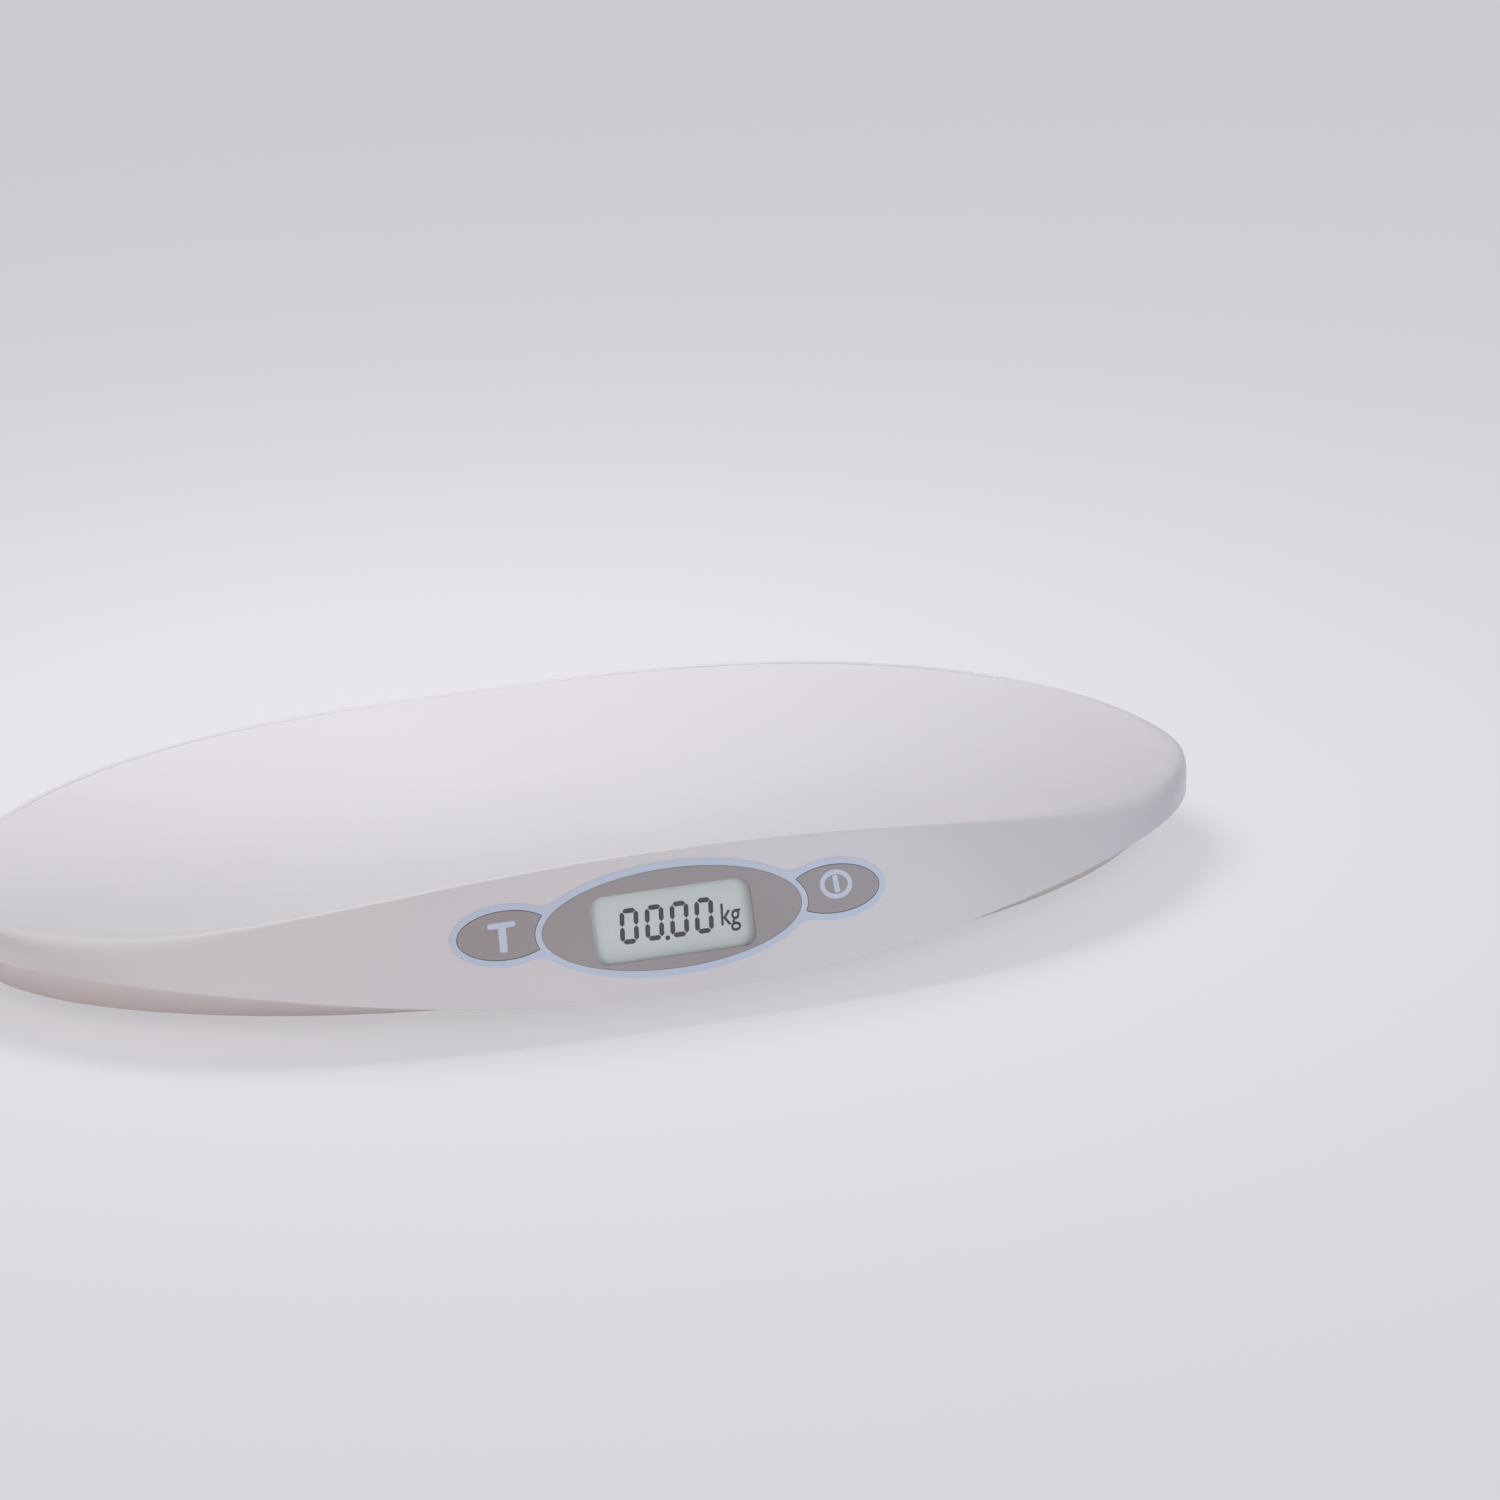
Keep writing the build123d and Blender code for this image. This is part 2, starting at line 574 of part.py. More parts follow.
def strip_sketches(grow=0.0):
    """Outlines of the two contact strips under the display's long edges."""
    y = (LCD_HEIGHT - HOLDER_SHELF) / 2
    size = (LCD_LENGTH - 2 * HOLDER_SHELF + 2 * grow, STRIP_WIDTH + 2 * grow)
    return [Pos(0, WINDOW_Y + side * y) * Rectangle(*size) for side in (-1, 1)]


def lcd_contact_strips():
    """Two rubber strips that join the display glass to the board."""
    return [behind(strip, LCD_BACK, BOARD_DEPTH) for strip in strip_sketches()]


def display_board():
    """Circuit board across the back of the panel."""
    sketch = RectangleRounded(BOARD_LENGTH, BOARD_HEIGHT, BOARD_ROUND)
    for x, y in post_spots():
        sketch -= Pos(x, y) * Circle(BOARD_SCREW_RADIUS + HOLE_PLAY)
    return behind(sketch, BOARD_DEPTH, BOARD_BACK)


def post_spots():
    """Places of the four board screws in the panel plane."""
    return [(sx * POST_X, sy * POST_Y) for sx, sy in CORNERS]


def board_screws():
    """Four pan-head screws from behind the board."""
    screws = []
    for x, y in post_spots():
        shank = behind(Pos(x, y) * Circle(BOARD_SCREW_RADIUS), BOARD_SCREW_END, BOARD_BACK)
        head = behind(Pos(x, y) * Circle(BOARD_HEAD_RADIUS), BOARD_BACK, BOARD_BACK + BOARD_SCREW_HEAD)
        screws.append(shank + head)
    return screws


def on_board_back(sketch, height):
    """Component that stands on the back of the board."""
    return behind(sketch, BOARD_BACK, BOARD_BACK + height)


# ---------------------------------------------------------------- feet, load cells and screws


def load_cell(sx, sy):
    """Aluminium bending beam with two bores and a slot between them."""
    low, high = cell_span(sx)
    y = sy * FOOT_Y
    half = CELL_WIDTH / 2
    beam = block(low, high, y - half, y + half, CELL_FLOOR, CELL_TOP)
    middle = (low + high) / 2 + sx * CELL_BORE_SHIFT
    height = CELL_FLOOR + CELL_HEIGHT / 2
    for side in (-1, 1):
        at = middle + side * CELL_BORE_PITCH / 2
        beam -= Pos(at, y, height) * Rot(90, 0, 0) * Cylinder(CELL_BORE, 2 * CELL_WIDTH)
    pitch, slot = CELL_BORE_PITCH / 2, CELL_SLOT / 2
    beam -= block(middle - pitch, middle + pitch, y - half, y + half, height - slot, height + slot)
    beam -= rod(sx * FOOT_X, y, CELL_FLOOR, CELL_TOP, STUD_RADIUS + THREAD_GAP)
    for x, _ in cell_screw_spots(sx, sy):
        beam -= rod(x, y, CELL_FLOOR, CELL_TOP, CELL_SCREW_RADIUS + CELL_SCREW_PLAY)
    return beam


def cell_screws():
    """Two screws through each load cell into its plinth."""
    screws = []
    for sx, sy in CORNERS:
        for x, y in cell_screw_spots(sx, sy):
            shank = rod(x, y, CELL_FLOOR - CELL_SCREW_BITE, CELL_TOP, CELL_SCREW_RADIUS)
            head = RegularPolygon(CELL_SCREW_FLATS, 6, major_radius=False)
            screws.append(shank + extrude(Pos(x, y, CELL_TOP) * head, CELL_SCREW_HEAD))
    return screws


def foot(sx, sy):
    """Moulded foot: dished disc, neck through the casing and stud into the load cell."""
    x, y = sx * FOOT_X, sy * FOOT_Y
    top = FLOOR_HEIGHT - FOOT_CLEARANCE
    disc = rod(x, y, PAD_PROUD, top, FOOT_RADIUS)
    rims = disc.edges().filter_by(GeomType.CIRCLE).sort_by(Axis.Z)
    disc = chamfer(rims[-1], FOOT_EDGE)
    disc += rod(x, y, top, CELL_FLOOR, NECK_RADIUS)
    disc += rod(x, y, CELL_FLOOR, CELL_FLOOR + STUD_LENGTH, STUD_RADIUS)
    return disc - rod(x, y, 0, PAD_THICK, PAD_RADIUS + PAD_PLAY)


def foot_pad(sx, sy):
    """Rubber pad in the foot's recess."""
    pad = rod(sx * FOOT_X, sy * FOOT_Y, 0, PAD_THICK, PAD_RADIUS)
    rims = pad.edges().filter_by(GeomType.CIRCLE).sort_by(Axis.Z)
    return chamfer(rims[0], PAD_EDGE)


def casing_screws():
    """Screws from below that hold the lower casing to the tray's posts."""
    screws = []
    for x, y in SCREW_SPOTS:
        screw = rod(x, y, SCREW_SEAT - HEAD_HEIGHT, SCREW_SEAT, HEAD_RADIUS)
        screws.append(screw + rod(x, y, SCREW_SEAT, SCREW_SEAT + SCREW_LENGTH, SCREW_RADIUS))
    return screws


# ---------------------------------------------------------------- batteries and contacts


def turned(index):
    """Direction of one battery's nub: neighbours lie head to tail."""
    return 1 if index % 2 == 0 else -1


def battery_middle(index):
    """Middle of one battery's can along Y: the spring shifts it away from its flat end."""
    middle = (BOX_FRONT + BOX_REAR) / 2
    return middle + turned(index) * (SPRING_LENGTH - NUB_LENGTH) / 2


def lying(x, y, z, radius, length):
    """Cylinder along Y."""
    return Pos(x, y, z) * Rot(90, 0, 0) * Cylinder(radius, length)


def batteries():
    """Cylindrical cells with their nubs."""
    cells = []
    for index, x in enumerate(BATTERY_SPOTS):
        y, way = battery_middle(index), turned(index)
        can = lying(x, y, BATTERY_Z, BATTERY_RADIUS, BATTERY_LENGTH)
        nub = lying(x, y + way * (BATTERY_LENGTH + NUB_LENGTH) / 2, BATTERY_Z, NUB_RADIUS, NUB_LENGTH)
        cells.append(can + nub)
    return cells


def end_wall(way):
    """Inner face, in Y, of the chamber's rear wall (+1) or front wall (-1)."""
    return BOX_REAR if way > 0 else BOX_FRONT


def contact_plates():
    """Flat contacts that the nubs press on."""
    plates = []
    for index, x in enumerate(BATTERY_SPOTS):
        way = turned(index)
        near, far = sorted((end_wall(way), end_wall(way) - way * CONTACT_THICK))
        low, high = BATTERY_Z - CONTACT_REACH, BATTERY_Z + CONTACT_REACH
        plates.append(block(x - CONTACT_REACH, x + CONTACT_REACH, near, far, low, high))
    return plates


def contact_springs():
    """Sprung leaves bent from strip, which press on the batteries' flat ends."""
    springs = []
    skin = CONTACT_THICK / 2
    nip = SPRING_LENGTH + CONTACT_THICK - skin
    for index, x in enumerate(BATTERY_SPOTS):
        way = -turned(index)
        wall = end_wall(way)
        path = [(skin, -CONTACT_REACH), (skin, CONTACT_REACH), (nip, LEAF_FLAT), (nip, -LEAF_FLAT)]
        path.append((nip - LEAF_CURL, -LEAF_FLAT - LEAF_CURL))
        strip = Polyline([(wall - way * out, BATTERY_Z + up) for out, up in path])
        section = Plane(origin=(x, 0, 0), x_dir=(0, 1, 0), z_dir=X_AXIS) * trace(strip, CONTACT_THICK)
        springs.append(extrude(section, LEAF_WIDTH / 2, both=True))
    return springs


# ---------------------------------------------------------------- build

os.makedirs("parts", exist_ok=True)
save("tray_shell", tray_shell())
save("lower_casing", lower_casing())
save("battery_door", battery_door())
save("panel_border", panel_border())
save("display_fascia", display_fascia())
save("display_lens", display_lens())
for name, side in (("tare", -1), ("power", 1)):
    save(f"{name}_key", key(side))
    save(f"{name}_plunger", plunger(side))
    save(f"{name}_switch", switch(side))
save("lcd_glass", lcd_glass())
save("lcd_holder", lcd_holder())
save("lcd_contact_strips", *lcd_contact_strips())
save("display_board", display_board())
save("board_screws", *board_screws())
save("measuring_chip", on_board_back(Pos(*CHIP_SPOT) * Rectangle(CHIP_SIZE, CHIP_SIZE), CHIP_HEIGHT))
save("cell_connector", on_board_back(Pos(*CONNECTOR_SPOT) * Rectangle(*CONNECTOR[:2]), CONNECTOR[2]))
save("buzzer", on_board_back(Pos(LCD_LENGTH / 2, BUZZER_RISE) * Circle(BUZZER_RADIUS), BUZZER_HEIGHT))
save("load_cells", *[load_cell(sx, sy) for sx, sy in CORNERS])
save("feet", *[foot(sx, sy) for sx, sy in CORNERS])
save("foot_pads", *[foot_pad(sx, sy) for sx, sy in CORNERS])
save("cell_screws", *cell_screws())
save("casing_screws", *casing_screws())
save("batteries", *batteries())
save("contact_plates", *contact_plates())
save("contact_springs", *contact_springs())
print(f"front face leans back {degrees(LEAN):.1f} degrees over {(CREST - FACE_FOOT).length:.1f} mm")
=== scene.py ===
"""Finished look of a digital baby weighing scale: a boat-shaped tray with a display and two keys.

Each sub-assembly is a class with its sizes as fields, and with methods that build and dress its
pieces. Frame: +X along the tray towards the power key, -Y towards the user, +Z up. The
sub-assemblies hold their lengths in millimetres. Meshes, finishes and the studio are in metres.
"""

import json
import logging
import math
from collections.abc import Callable, Iterator
from contextlib import contextmanager
from dataclasses import dataclass
from enum import Enum
from typing import ClassVar, Optional

import bmesh
import bpy
from mathutils import Matrix, Vector
from mathutils.bvhtree import BVHTree

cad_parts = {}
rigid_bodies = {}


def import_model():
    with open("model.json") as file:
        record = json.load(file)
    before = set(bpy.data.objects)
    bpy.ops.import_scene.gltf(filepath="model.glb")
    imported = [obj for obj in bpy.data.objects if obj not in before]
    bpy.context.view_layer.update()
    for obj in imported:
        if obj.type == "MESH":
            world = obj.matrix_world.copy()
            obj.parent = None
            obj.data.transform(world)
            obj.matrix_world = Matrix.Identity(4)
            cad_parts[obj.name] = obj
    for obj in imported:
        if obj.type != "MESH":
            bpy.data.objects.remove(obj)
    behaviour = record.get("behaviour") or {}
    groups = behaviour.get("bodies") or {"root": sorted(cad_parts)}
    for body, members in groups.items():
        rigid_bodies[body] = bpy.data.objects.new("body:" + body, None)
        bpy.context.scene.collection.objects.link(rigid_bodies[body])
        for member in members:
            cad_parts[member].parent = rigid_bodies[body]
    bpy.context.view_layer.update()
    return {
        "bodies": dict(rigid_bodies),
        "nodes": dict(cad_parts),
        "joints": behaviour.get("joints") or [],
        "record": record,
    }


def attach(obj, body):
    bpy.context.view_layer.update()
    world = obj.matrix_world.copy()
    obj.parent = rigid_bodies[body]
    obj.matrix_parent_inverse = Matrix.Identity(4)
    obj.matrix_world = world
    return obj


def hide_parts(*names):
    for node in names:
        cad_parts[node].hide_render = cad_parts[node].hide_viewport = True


LOG = logging.getLogger("baby_scale")
MM = 0.001
SMOOTH_ANGLE = math.radians(32)  # edges that turn by more stay sharp
ROUNDING = 1e-9  # a value that is so close to 0 counts as 0
Colour = tuple[float, float, float]
Spot = tuple[float, float]  # a place in a plane
Pair = tuple[float, float]  # two numbers that belong together
Piece = bpy.types.Object
Tree = bpy.types.NodeTree
Node = bpy.types.Node
Socket = bpy.types.NodeSocket


# ---------------------------------------------------------------- small helpers


def srgb(red: int, green: int, blue: int) -> Colour:
    """Linear colour of an 8-bit display colour.

    Args:
        red: Red from 0 to 255.
        green: Green from 0 to 255.
        blue: Blue from 0 to 255.

    Returns:
        The three linear values.
    """

    def linear(level: int) -> float:
        """Linear value of one channel."""
        share = level / 255
        return share / 12.92 if share <= 0.04045 else ((share + 0.055) / 1.055) ** 2.4

    return linear(red), linear(green), linear(blue)


def deselect() -> None:
    """Leaves nothing selected, so that an operator acts only on what follows."""
    if bpy.context.object and bpy.context.object.mode != "OBJECT":
        bpy.ops.object.mode_set(mode="OBJECT")
    bpy.ops.object.select_all(action="DESELECT")


def make_active(piece: Piece) -> None:
    """Selects one piece alone and makes it the active one.

    Args:
        piece: The piece to work on.
    """
    deselect()
    piece.select_set(True)
    bpy.context.view_layer.objects.active = piece


def newest(name: str) -> Piece:
    """Names the object that an operator has just added.

    Args:
        name: The new object's name.

    Returns:
        The object.
    """
    piece = bpy.context.object
    piece.name = name
    piece.data.name = name
    return piece


@contextmanager
def editing(piece: Piece) -> Iterator[None]:
    """Opens a piece in edit mode, with all of it selected, for as long as a block runs.

    Args:
        piece: The piece to edit.

    Yields:
        Nothing.
    """
    make_active(piece)
    bpy.ops.object.mode_set(mode="EDIT")
    bpy.ops.mesh.select_all(action="SELECT")
    yield
    bpy.ops.object.mode_set(mode="OBJECT")


def apply_modifier(piece: Piece, kind: str, **settings: object) -> None:
    """Adds one modifier, sets it and applies it.

    Args:
        piece: The piece to change.
        kind: The modifier's type.
        settings: Values of the modifier.
    """
    make_active(piece)
    modifier = piece.modifiers.new(kind.lower(), kind)
    for key, value in settings.items():
        setattr(modifier, key, value)
    bpy.ops.object.modifier_apply(modifier=modifier.name)


def cut(piece: Piece, cutter: Piece) -> None:
    """Takes a closed cutter out of a piece, and removes the cutter."""
    apply_modifier(piece, "BOOLEAN", operation="DIFFERENCE", object=cutter, solver="EXACT")
    bpy.data.objects.remove(cutter)


def freeze(piece: Piece) -> None:
    """Moves a piece's place, turn and scale into its mesh."""
    make_active(piece)
    bpy.ops.object.transform_apply(location=True, rotation=True, scale=True)


def smooth(piece: Piece) -> None:
    """Shades a piece smooth between its sharp edges."""
    make_active(piece)
    bpy.ops.object.shade_smooth_by_angle(angle=SMOOTH_ANGLE)


def face_towards(piece: Piece, outwards: Vector) -> None:
    """Turns a flat piece over if most of it looks the other way."""
    if sum(face.normal.dot(outwards) * face.area for face in piece.data.polygons) < 0:
        piece.data.flip_normals()


def join(pieces: list[Piece], name: str) -> Piece:
    """Joins pieces into one.

    Args:
        pieces: The pieces, of which the first one stays.
        name: The joined piece's name.

    Returns:
        The joined piece.
    """
    deselect()
    for piece in pieces:
        piece.select_set(True)
    bpy.context.view_layer.objects.active = pieces[0]
    bpy.ops.object.join()
    return newest(name)


# ---------------------------------------------------------------- shader effects


def combine(tree: Tree, kind: str, first: Socket | float, second: Socket | float) -> Socket:
    """Result of a Math node.

    Args:
        tree: The tree it goes in.
        kind: The node's operation.
        first: A number, or a socket that gives one.
        second: The same for the second input.

    Returns:
        The result's socket.
    """
    node = tree.nodes.new("ShaderNodeMath")
    node.operation = kind
    for socket, value in zip(node.inputs, (first, second)):
        if isinstance(value, bpy.types.NodeSocket):
            tree.links.new(value, socket)
        else:
            socket.default_value = value
    return node.outputs[0]


class Effect(Enum):
    """Shader effects that several finishes share, each one a node group."""

    GRAIN = "moulding_grain"
    DRIFT = "tone_drift"
    HANDLING = "handling_sheen"
    DUST = "settled_dust"


class EffectLibrary:
    """Builds each shared effect once and hands out its node group."""

    RIPPLE_LENGTH: ClassVar[float] = 14.0  # one ripple for so many grains

    def __init__(self) -> None:
        """Starts with no group built."""
        self.makers: dict[Effect, Callable[[Tree], None]] = {
            Effect.GRAIN: self.grain,
            Effect.DRIFT: self.drift,
            Effect.HANDLING: self.handling,
            Effect.DUST: self.dust,
        }
        self.groups: dict[Effect, Tree] = {}

    def group(self, effect: Effect) -> Tree:
        """Node group of one effect, built when it is first asked for.

        Args:
            effect: The effect.

        Returns:
            The effect's node group.
        """
        if effect not in self.groups:
            tree = bpy.data.node_groups.new(effect.value, "ShaderNodeTree")
            self.makers[effect](tree)
            self.groups[effect] = tree
        return self.groups[effect]

    @staticmethod
    def sockets(tree: Tree, inputs: dict[str, float], output: str) -> tuple[Node, Node]:
        """Gives a group its named inputs and its output.

        Args:
            tree: The group.
            inputs: Names and default values of the number inputs.
            output: Name of the number output.

        Returns:
            The group's input node and output node.
        """
        for name, value in inputs.items():
            socket = tree.interface.new_socket(name, in_out="INPUT", socket_type="NodeSocketFloat")
            socket.default_value = value
        tree.interface.new_socket(output, in_out="OUTPUT", socket_type="NodeSocketFloat")
        return tree.nodes.new("NodeGroupInput"), tree.nodes.new("NodeGroupOutput")

    @staticmethod
    def noise(
        tree: Tree, scale: Socket, detail: float = 2.0, rough: float = 0.5, bend: float = 0.0
    ) -> Socket:
        """Noise on object coordinates.

        Args:
            tree: The tree it goes in.
            scale: Socket that gives its scale.
            detail: Layers of noise.
            rough: Weight of the finer layers.
            bend: How far the noise is distorted.

        Returns:
            The noise's socket.
        """
        place = tree.nodes.new("ShaderNodeTexCoord")
        noise = tree.nodes.new("ShaderNodeTexNoise")
        noise.inputs["Detail"].default_value = detail
        noise.inputs["Roughness"].default_value = rough
        noise.inputs["Distortion"].default_value = bend
        tree.links.new(place.outputs["Object"], noise.inputs["Vector"])
        tree.links.new(scale, noise.inputs["Scale"])
        return noise.outputs["Fac"]

    @staticmethod
    def spread(tree: Tree, value: Socket, low: float, high: float) -> Socket:
        """Spreads a value from low to high over 0 to 1.

        Args:
            tree: The tree it goes in.
            value: Socket that gives the value.
            low: Value that becomes 0.
            high: Value that becomes 1.

        Returns:
            The spread value's socket.
        """
        spread = tree.nodes.new("ShaderNodeMapRange")
        spread.inputs["From Min"].default_value = low
        spread.inputs["From Max"].default_value = high
        tree.links.new(value, spread.inputs["Value"])
        return spread.outputs["Result"]

    def grain(self, tree: Tree) -> None:
        """Height of a spark-eroded mould: fine grain over a slow ripple.

        Args:
            tree: The group to fill.
        """
        enter, leave = self.sockets(tree, {"Scale": 2500.0, "Ripple": 0.4}, "Height")
        scale = enter.outputs["Scale"]
        fine = self.noise(tree, scale, detail=3.0, rough=0.6)
        slow = self.noise(tree, combine(tree, "DIVIDE", scale, self.RIPPLE_LENGTH), detail=1.0)
        ripple = combine(tree, "MULTIPLY", slow, enter.outputs["Ripple"])
        tree.links.new(combine(tree, "ADD", fine, ripple), leave.inputs["Height"])

    def drift(self, tree: Tree) -> None:
        """Slow change of tone over a large moulding, from 0 to 1.

        Args:
            tree: The group to fill.
        """
        enter, leave = self.sockets(tree, {"Scale": 6.0}, "Share")
        noise = self.noise(tree, enter.outputs["Scale"])
        tree.links.new(self.spread(tree, noise, low=0.3, high=0.7), leave.inputs["Share"])

    def handling(self, tree: Tree) -> None:
        """Where hands have left the surface a little glossier, from 0 to 1.

        Args:
            tree: The group to fill.
        """
        enter, leave = self.sockets(tree, {"Scale": 30.0}, "Share")
        noise = self.noise(tree, enter.outputs["Scale"], detail=4.0, rough=0.6, bend=0.6)
        tree.links.new(self.spread(tree, noise, low=0.42, high=0.68), leave.inputs["Share"])

    def dust(self, tree: Tree) -> None:
        """Thin dust that settles where a surface looks upwards, from 0 to 1.

        Args:
            tree: The group to fill.
        """
        enter, leave = self.sockets(tree, {"Scale": 400.0, "Amount": 0.3}, "Share")
        noise = self.noise(tree, enter.outputs["Scale"], detail=5.0, rough=0.7)
        specks = self.spread(tree, noise, low=0.45, high=0.8)
        place = tree.nodes.new("ShaderNodeNewGeometry")
        split = tree.nodes.new("ShaderNodeSeparateXYZ")
        tree.links.new(place.outputs["Normal"], split.inputs[0])
        level = self.spread(tree, split.outputs["Z"], low=0.3, high=1.0)
        settled = combine(tree, "MULTIPLY", specks, level)
        share = combine(tree, "MULTIPLY", settled, enter.outputs["Amount"])
        tree.links.new(share, leave.inputs["Share"])


# ---------------------------------------------------------------- finishes


@dataclass(frozen=True)
class Finish:
    """A material: two tones, a gloss that varies, and a grain.

    Args:
        slot: Name of the record's material slot.
        tone: Main colour.
        shade: Colour that the main one drifts to.
        roughness: Roughness of the plain surface.
        handled: Roughness where it has been handled.
        grain_scale: Grain per metre.
        grain_depth: Height of the grain in metres.
        ripple: Weight of the slow ripple in the grain.
        metallic: 1 for metal.
        coat: Weight of a clear coat.
        coat_roughness: Roughness of that coat.
        specular: Strength of the plain reflection.
        drift_scale: Patches of tone per metre.
        dust: How much dust lies on it.
        dust_tone: Colour of the dust.
    """

    slot: str
    tone: Colour
    shade: Colour
    roughness: float = 0.4
    handled: float = 0.34
    grain_scale: float = 2500.0
    grain_depth: float = 0.00001
    ripple: float = 0.4
    metallic: float = 0.0
    coat: float = 0.0
    coat_roughness: float = 0.12
    specular: float = 0.5
    drift_scale: float = 6.0
    dust: float = 0.0
    dust_tone: Colour = srgb(214, 210, 206)

    MIX_COLOURS: ClassVar[tuple[int, int]] = (6, 7)  # a Mix node's inputs for two colours
    MIX_RESULT: ClassVar[int] = 2  # its output for the mixed colour

    def material(self, effects: EffectLibrary) -> bpy.types.Material:
        """Builds the material.

        Args:
            effects: Where the shared effects come from.

        Returns:
            The material.
        """
        made = bpy.data.materials.new(self.slot)
        made.use_nodes = True
        tree = made.node_tree
        surface = tree.nodes["Principled BSDF"]
        surface.inputs["Metallic"].default_value = self.metallic
        surface.inputs["Coat Weight"].default_value = self.coat
        surface.inputs["Coat Roughness"].default_value = self.coat_roughness
        surface.inputs["Specular IOR Level"].default_value = self.specular
        tree.links.new(self.colour(tree, effects), surface.inputs["Base Color"])
        tree.links.new(self.gloss(tree, effects), surface.inputs["Roughness"])
        tree.links.new(self.relief(tree, effects), surface.inputs["Normal"])
        made.diffuse_color = (*self.tone, 1.0)
        return made

    @staticmethod
    def place(tree: Tree, effects: EffectLibrary, effect: Effect, **values: float) -> Socket:
        """Puts one shared effect in a material.

        Args:
            tree: The material's tree.
            effects: Where the group comes from.
            effect: The effect.
            values: Values of the group's inputs.

        Returns:
            The socket of what the effect puts out.
        """
        node = tree.nodes.new("ShaderNodeGroup")
        node.node_tree = effects.group(effect)
        for name, value in values.items():
            node.inputs[name].default_value = value
        return node.outputs[0]

    def mix(self, tree: Tree, share: Socket, first: Socket | Colour, second: Colour) -> Socket:
        """Mixes two colours by a share.

        Args:
            tree: The material's tree.
            share: Socket that gives the share of the second one.
            first: A colour, or a socket that gives one.
            second: The second colour.

        Returns:
            The mixed colour's socket.
        """
        mix = tree.nodes.new("ShaderNodeMix")
        mix.data_type = "RGBA"
        tree.links.new(share, mix.inputs["Factor"])
        for index, value in zip(self.MIX_COLOURS, (first, second)):
            if isinstance(value, bpy.types.NodeSocket):
                tree.links.new(value, mix.inputs[index])
            else:
                mix.inputs[index].default_value = (*value, 1.0)
        return mix.outputs[self.MIX_RESULT]

    def colour(self, tree: Tree, effects: EffectLibrary) -> Socket:
        """Colour that drifts between the two tones, with dust where it settles.

        Args:
            tree: The material's tree.
            effects: Where the shared effects come from.

        Returns:
            The colour's socket.
        """
        drift = self.place(tree, effects, Effect.DRIFT, Scale=self.drift_scale)
        mixed = self.mix(tree, drift, self.tone, self.shade)
        if not self.dust:
            return mixed
        dust = self.place(tree, effects, Effect.DUST, Amount=self.dust)
        return self.mix(tree, dust, mixed, self.dust_tone)

    def gloss(self, tree: Tree, effects: EffectLibrary) -> Socket:
        """Roughness between the plain and the handled surface.

        Args:
            tree: The material's tree.
            effects: Where the shared effects come from.

        Returns:
            The roughness's socket.
        """
        spread = tree.nodes.new("ShaderNodeMapRange")
        spread.inputs["To Min"].default_value = self.roughness
        spread.inputs["To Max"].default_value = self.handled
        tree.links.new(self.place(tree, effects, Effect.HANDLING), spread.inputs["Value"])
        return spread.outputs["Result"]

    def relief(self, tree: Tree, effects: EffectLibrary) -> Socket:
        """Normal of the grain.

        Args:
            tree: The material's tree.
            effects: Where the shared effects come from.

        Returns:
            The normal's socket.
        """
        grain = self.place(tree, effects, Effect.GRAIN, Scale=self.grain_scale, Ripple=self.ripple)
        bump = tree.nodes.new("ShaderNodeBump")
        bump.inputs["Distance"].default_value = self.grain_depth
        bump.inputs["Strength"].default_value = 1.0
        tree.links.new(grain, bump.inputs["Height"])
        return bump.outputs["Normal"]


@dataclass(frozen=True)
class ClearFinish(Finish):
    """A thin clear window, which shows a little of its own sheen and lets the light through.

    Args:
        cover: How much of the window's own surface shows.
        index: Refractive index of the clear plastic.
    """

    cover: float = 0.05
    index: float = 1.49

    def material(self, effects: EffectLibrary) -> bpy.types.Material:
        """Builds the material.

        Args:
            effects: Where the shared effects come from.

        Returns:
            The material.
        """
        made = super().material(effects)
        surface = made.node_tree.nodes["Principled BSDF"]
        surface.inputs["Alpha"].default_value = self.cover
        surface.inputs["IOR"].default_value = self.index
        return made


WHITE_SHELL = Finish(
    "white_shell", srgb(231, 228, 231), srgb(228, 224, 228),
    roughness=0.36, handled=0.3, grain_scale=2200.0, grain_depth=0.000012,
)
GREY_CASING = Finish(
    "grey_casing", srgb(231, 222, 220), srgb(225, 216, 214),
    roughness=0.46, handled=0.4, grain_scale=2600.0, grain_depth=0.00002,
)
PALE_BLUE = Finish(
    "pale_blue", srgb(208, 219, 238), srgb(203, 214, 234),
    roughness=0.34, handled=0.3, grain_scale=4000.0, grain_depth=0.000006,
)
PANEL_GREY = Finish(
    "panel_grey", srgb(173, 167, 168), srgb(167, 161, 163),
    roughness=0.42, handled=0.36, grain_scale=5200.0, grain_depth=0.000012,
)
CLEAR_WINDOW = ClearFinish(
    "clear_window", srgb(250, 252, 252), srgb(247, 250, 250),
    roughness=0.03, handled=0.06, grain_scale=900.0, grain_depth=0.000001,
)
DISPLAY_GLASS = Finish(
    "display_glass", srgb(225, 233, 233), srgb(219, 228, 228),
    roughness=0.42, handled=0.36, grain_scale=6000.0, grain_depth=0.000002,
)
WHITE_FRAME = Finish(
    "white_frame", srgb(232, 230, 226), srgb(226, 224, 220), roughness=0.5, handled=0.46
)
BLACK_RUBBER = Finish(
    "black_rubber", srgb(44, 44, 46), srgb(52, 51, 52),
    roughness=0.78, handled=0.66, grain_scale=3000.0, grain_depth=0.00004, dust=0.2,
)
BOARD_GREEN = Finish(
    "board_green", srgb(34, 92, 58), srgb(28, 80, 50),
    roughness=0.34, handled=0.28, grain_scale=1800.0, grain_depth=0.00002, coat=0.4,
)
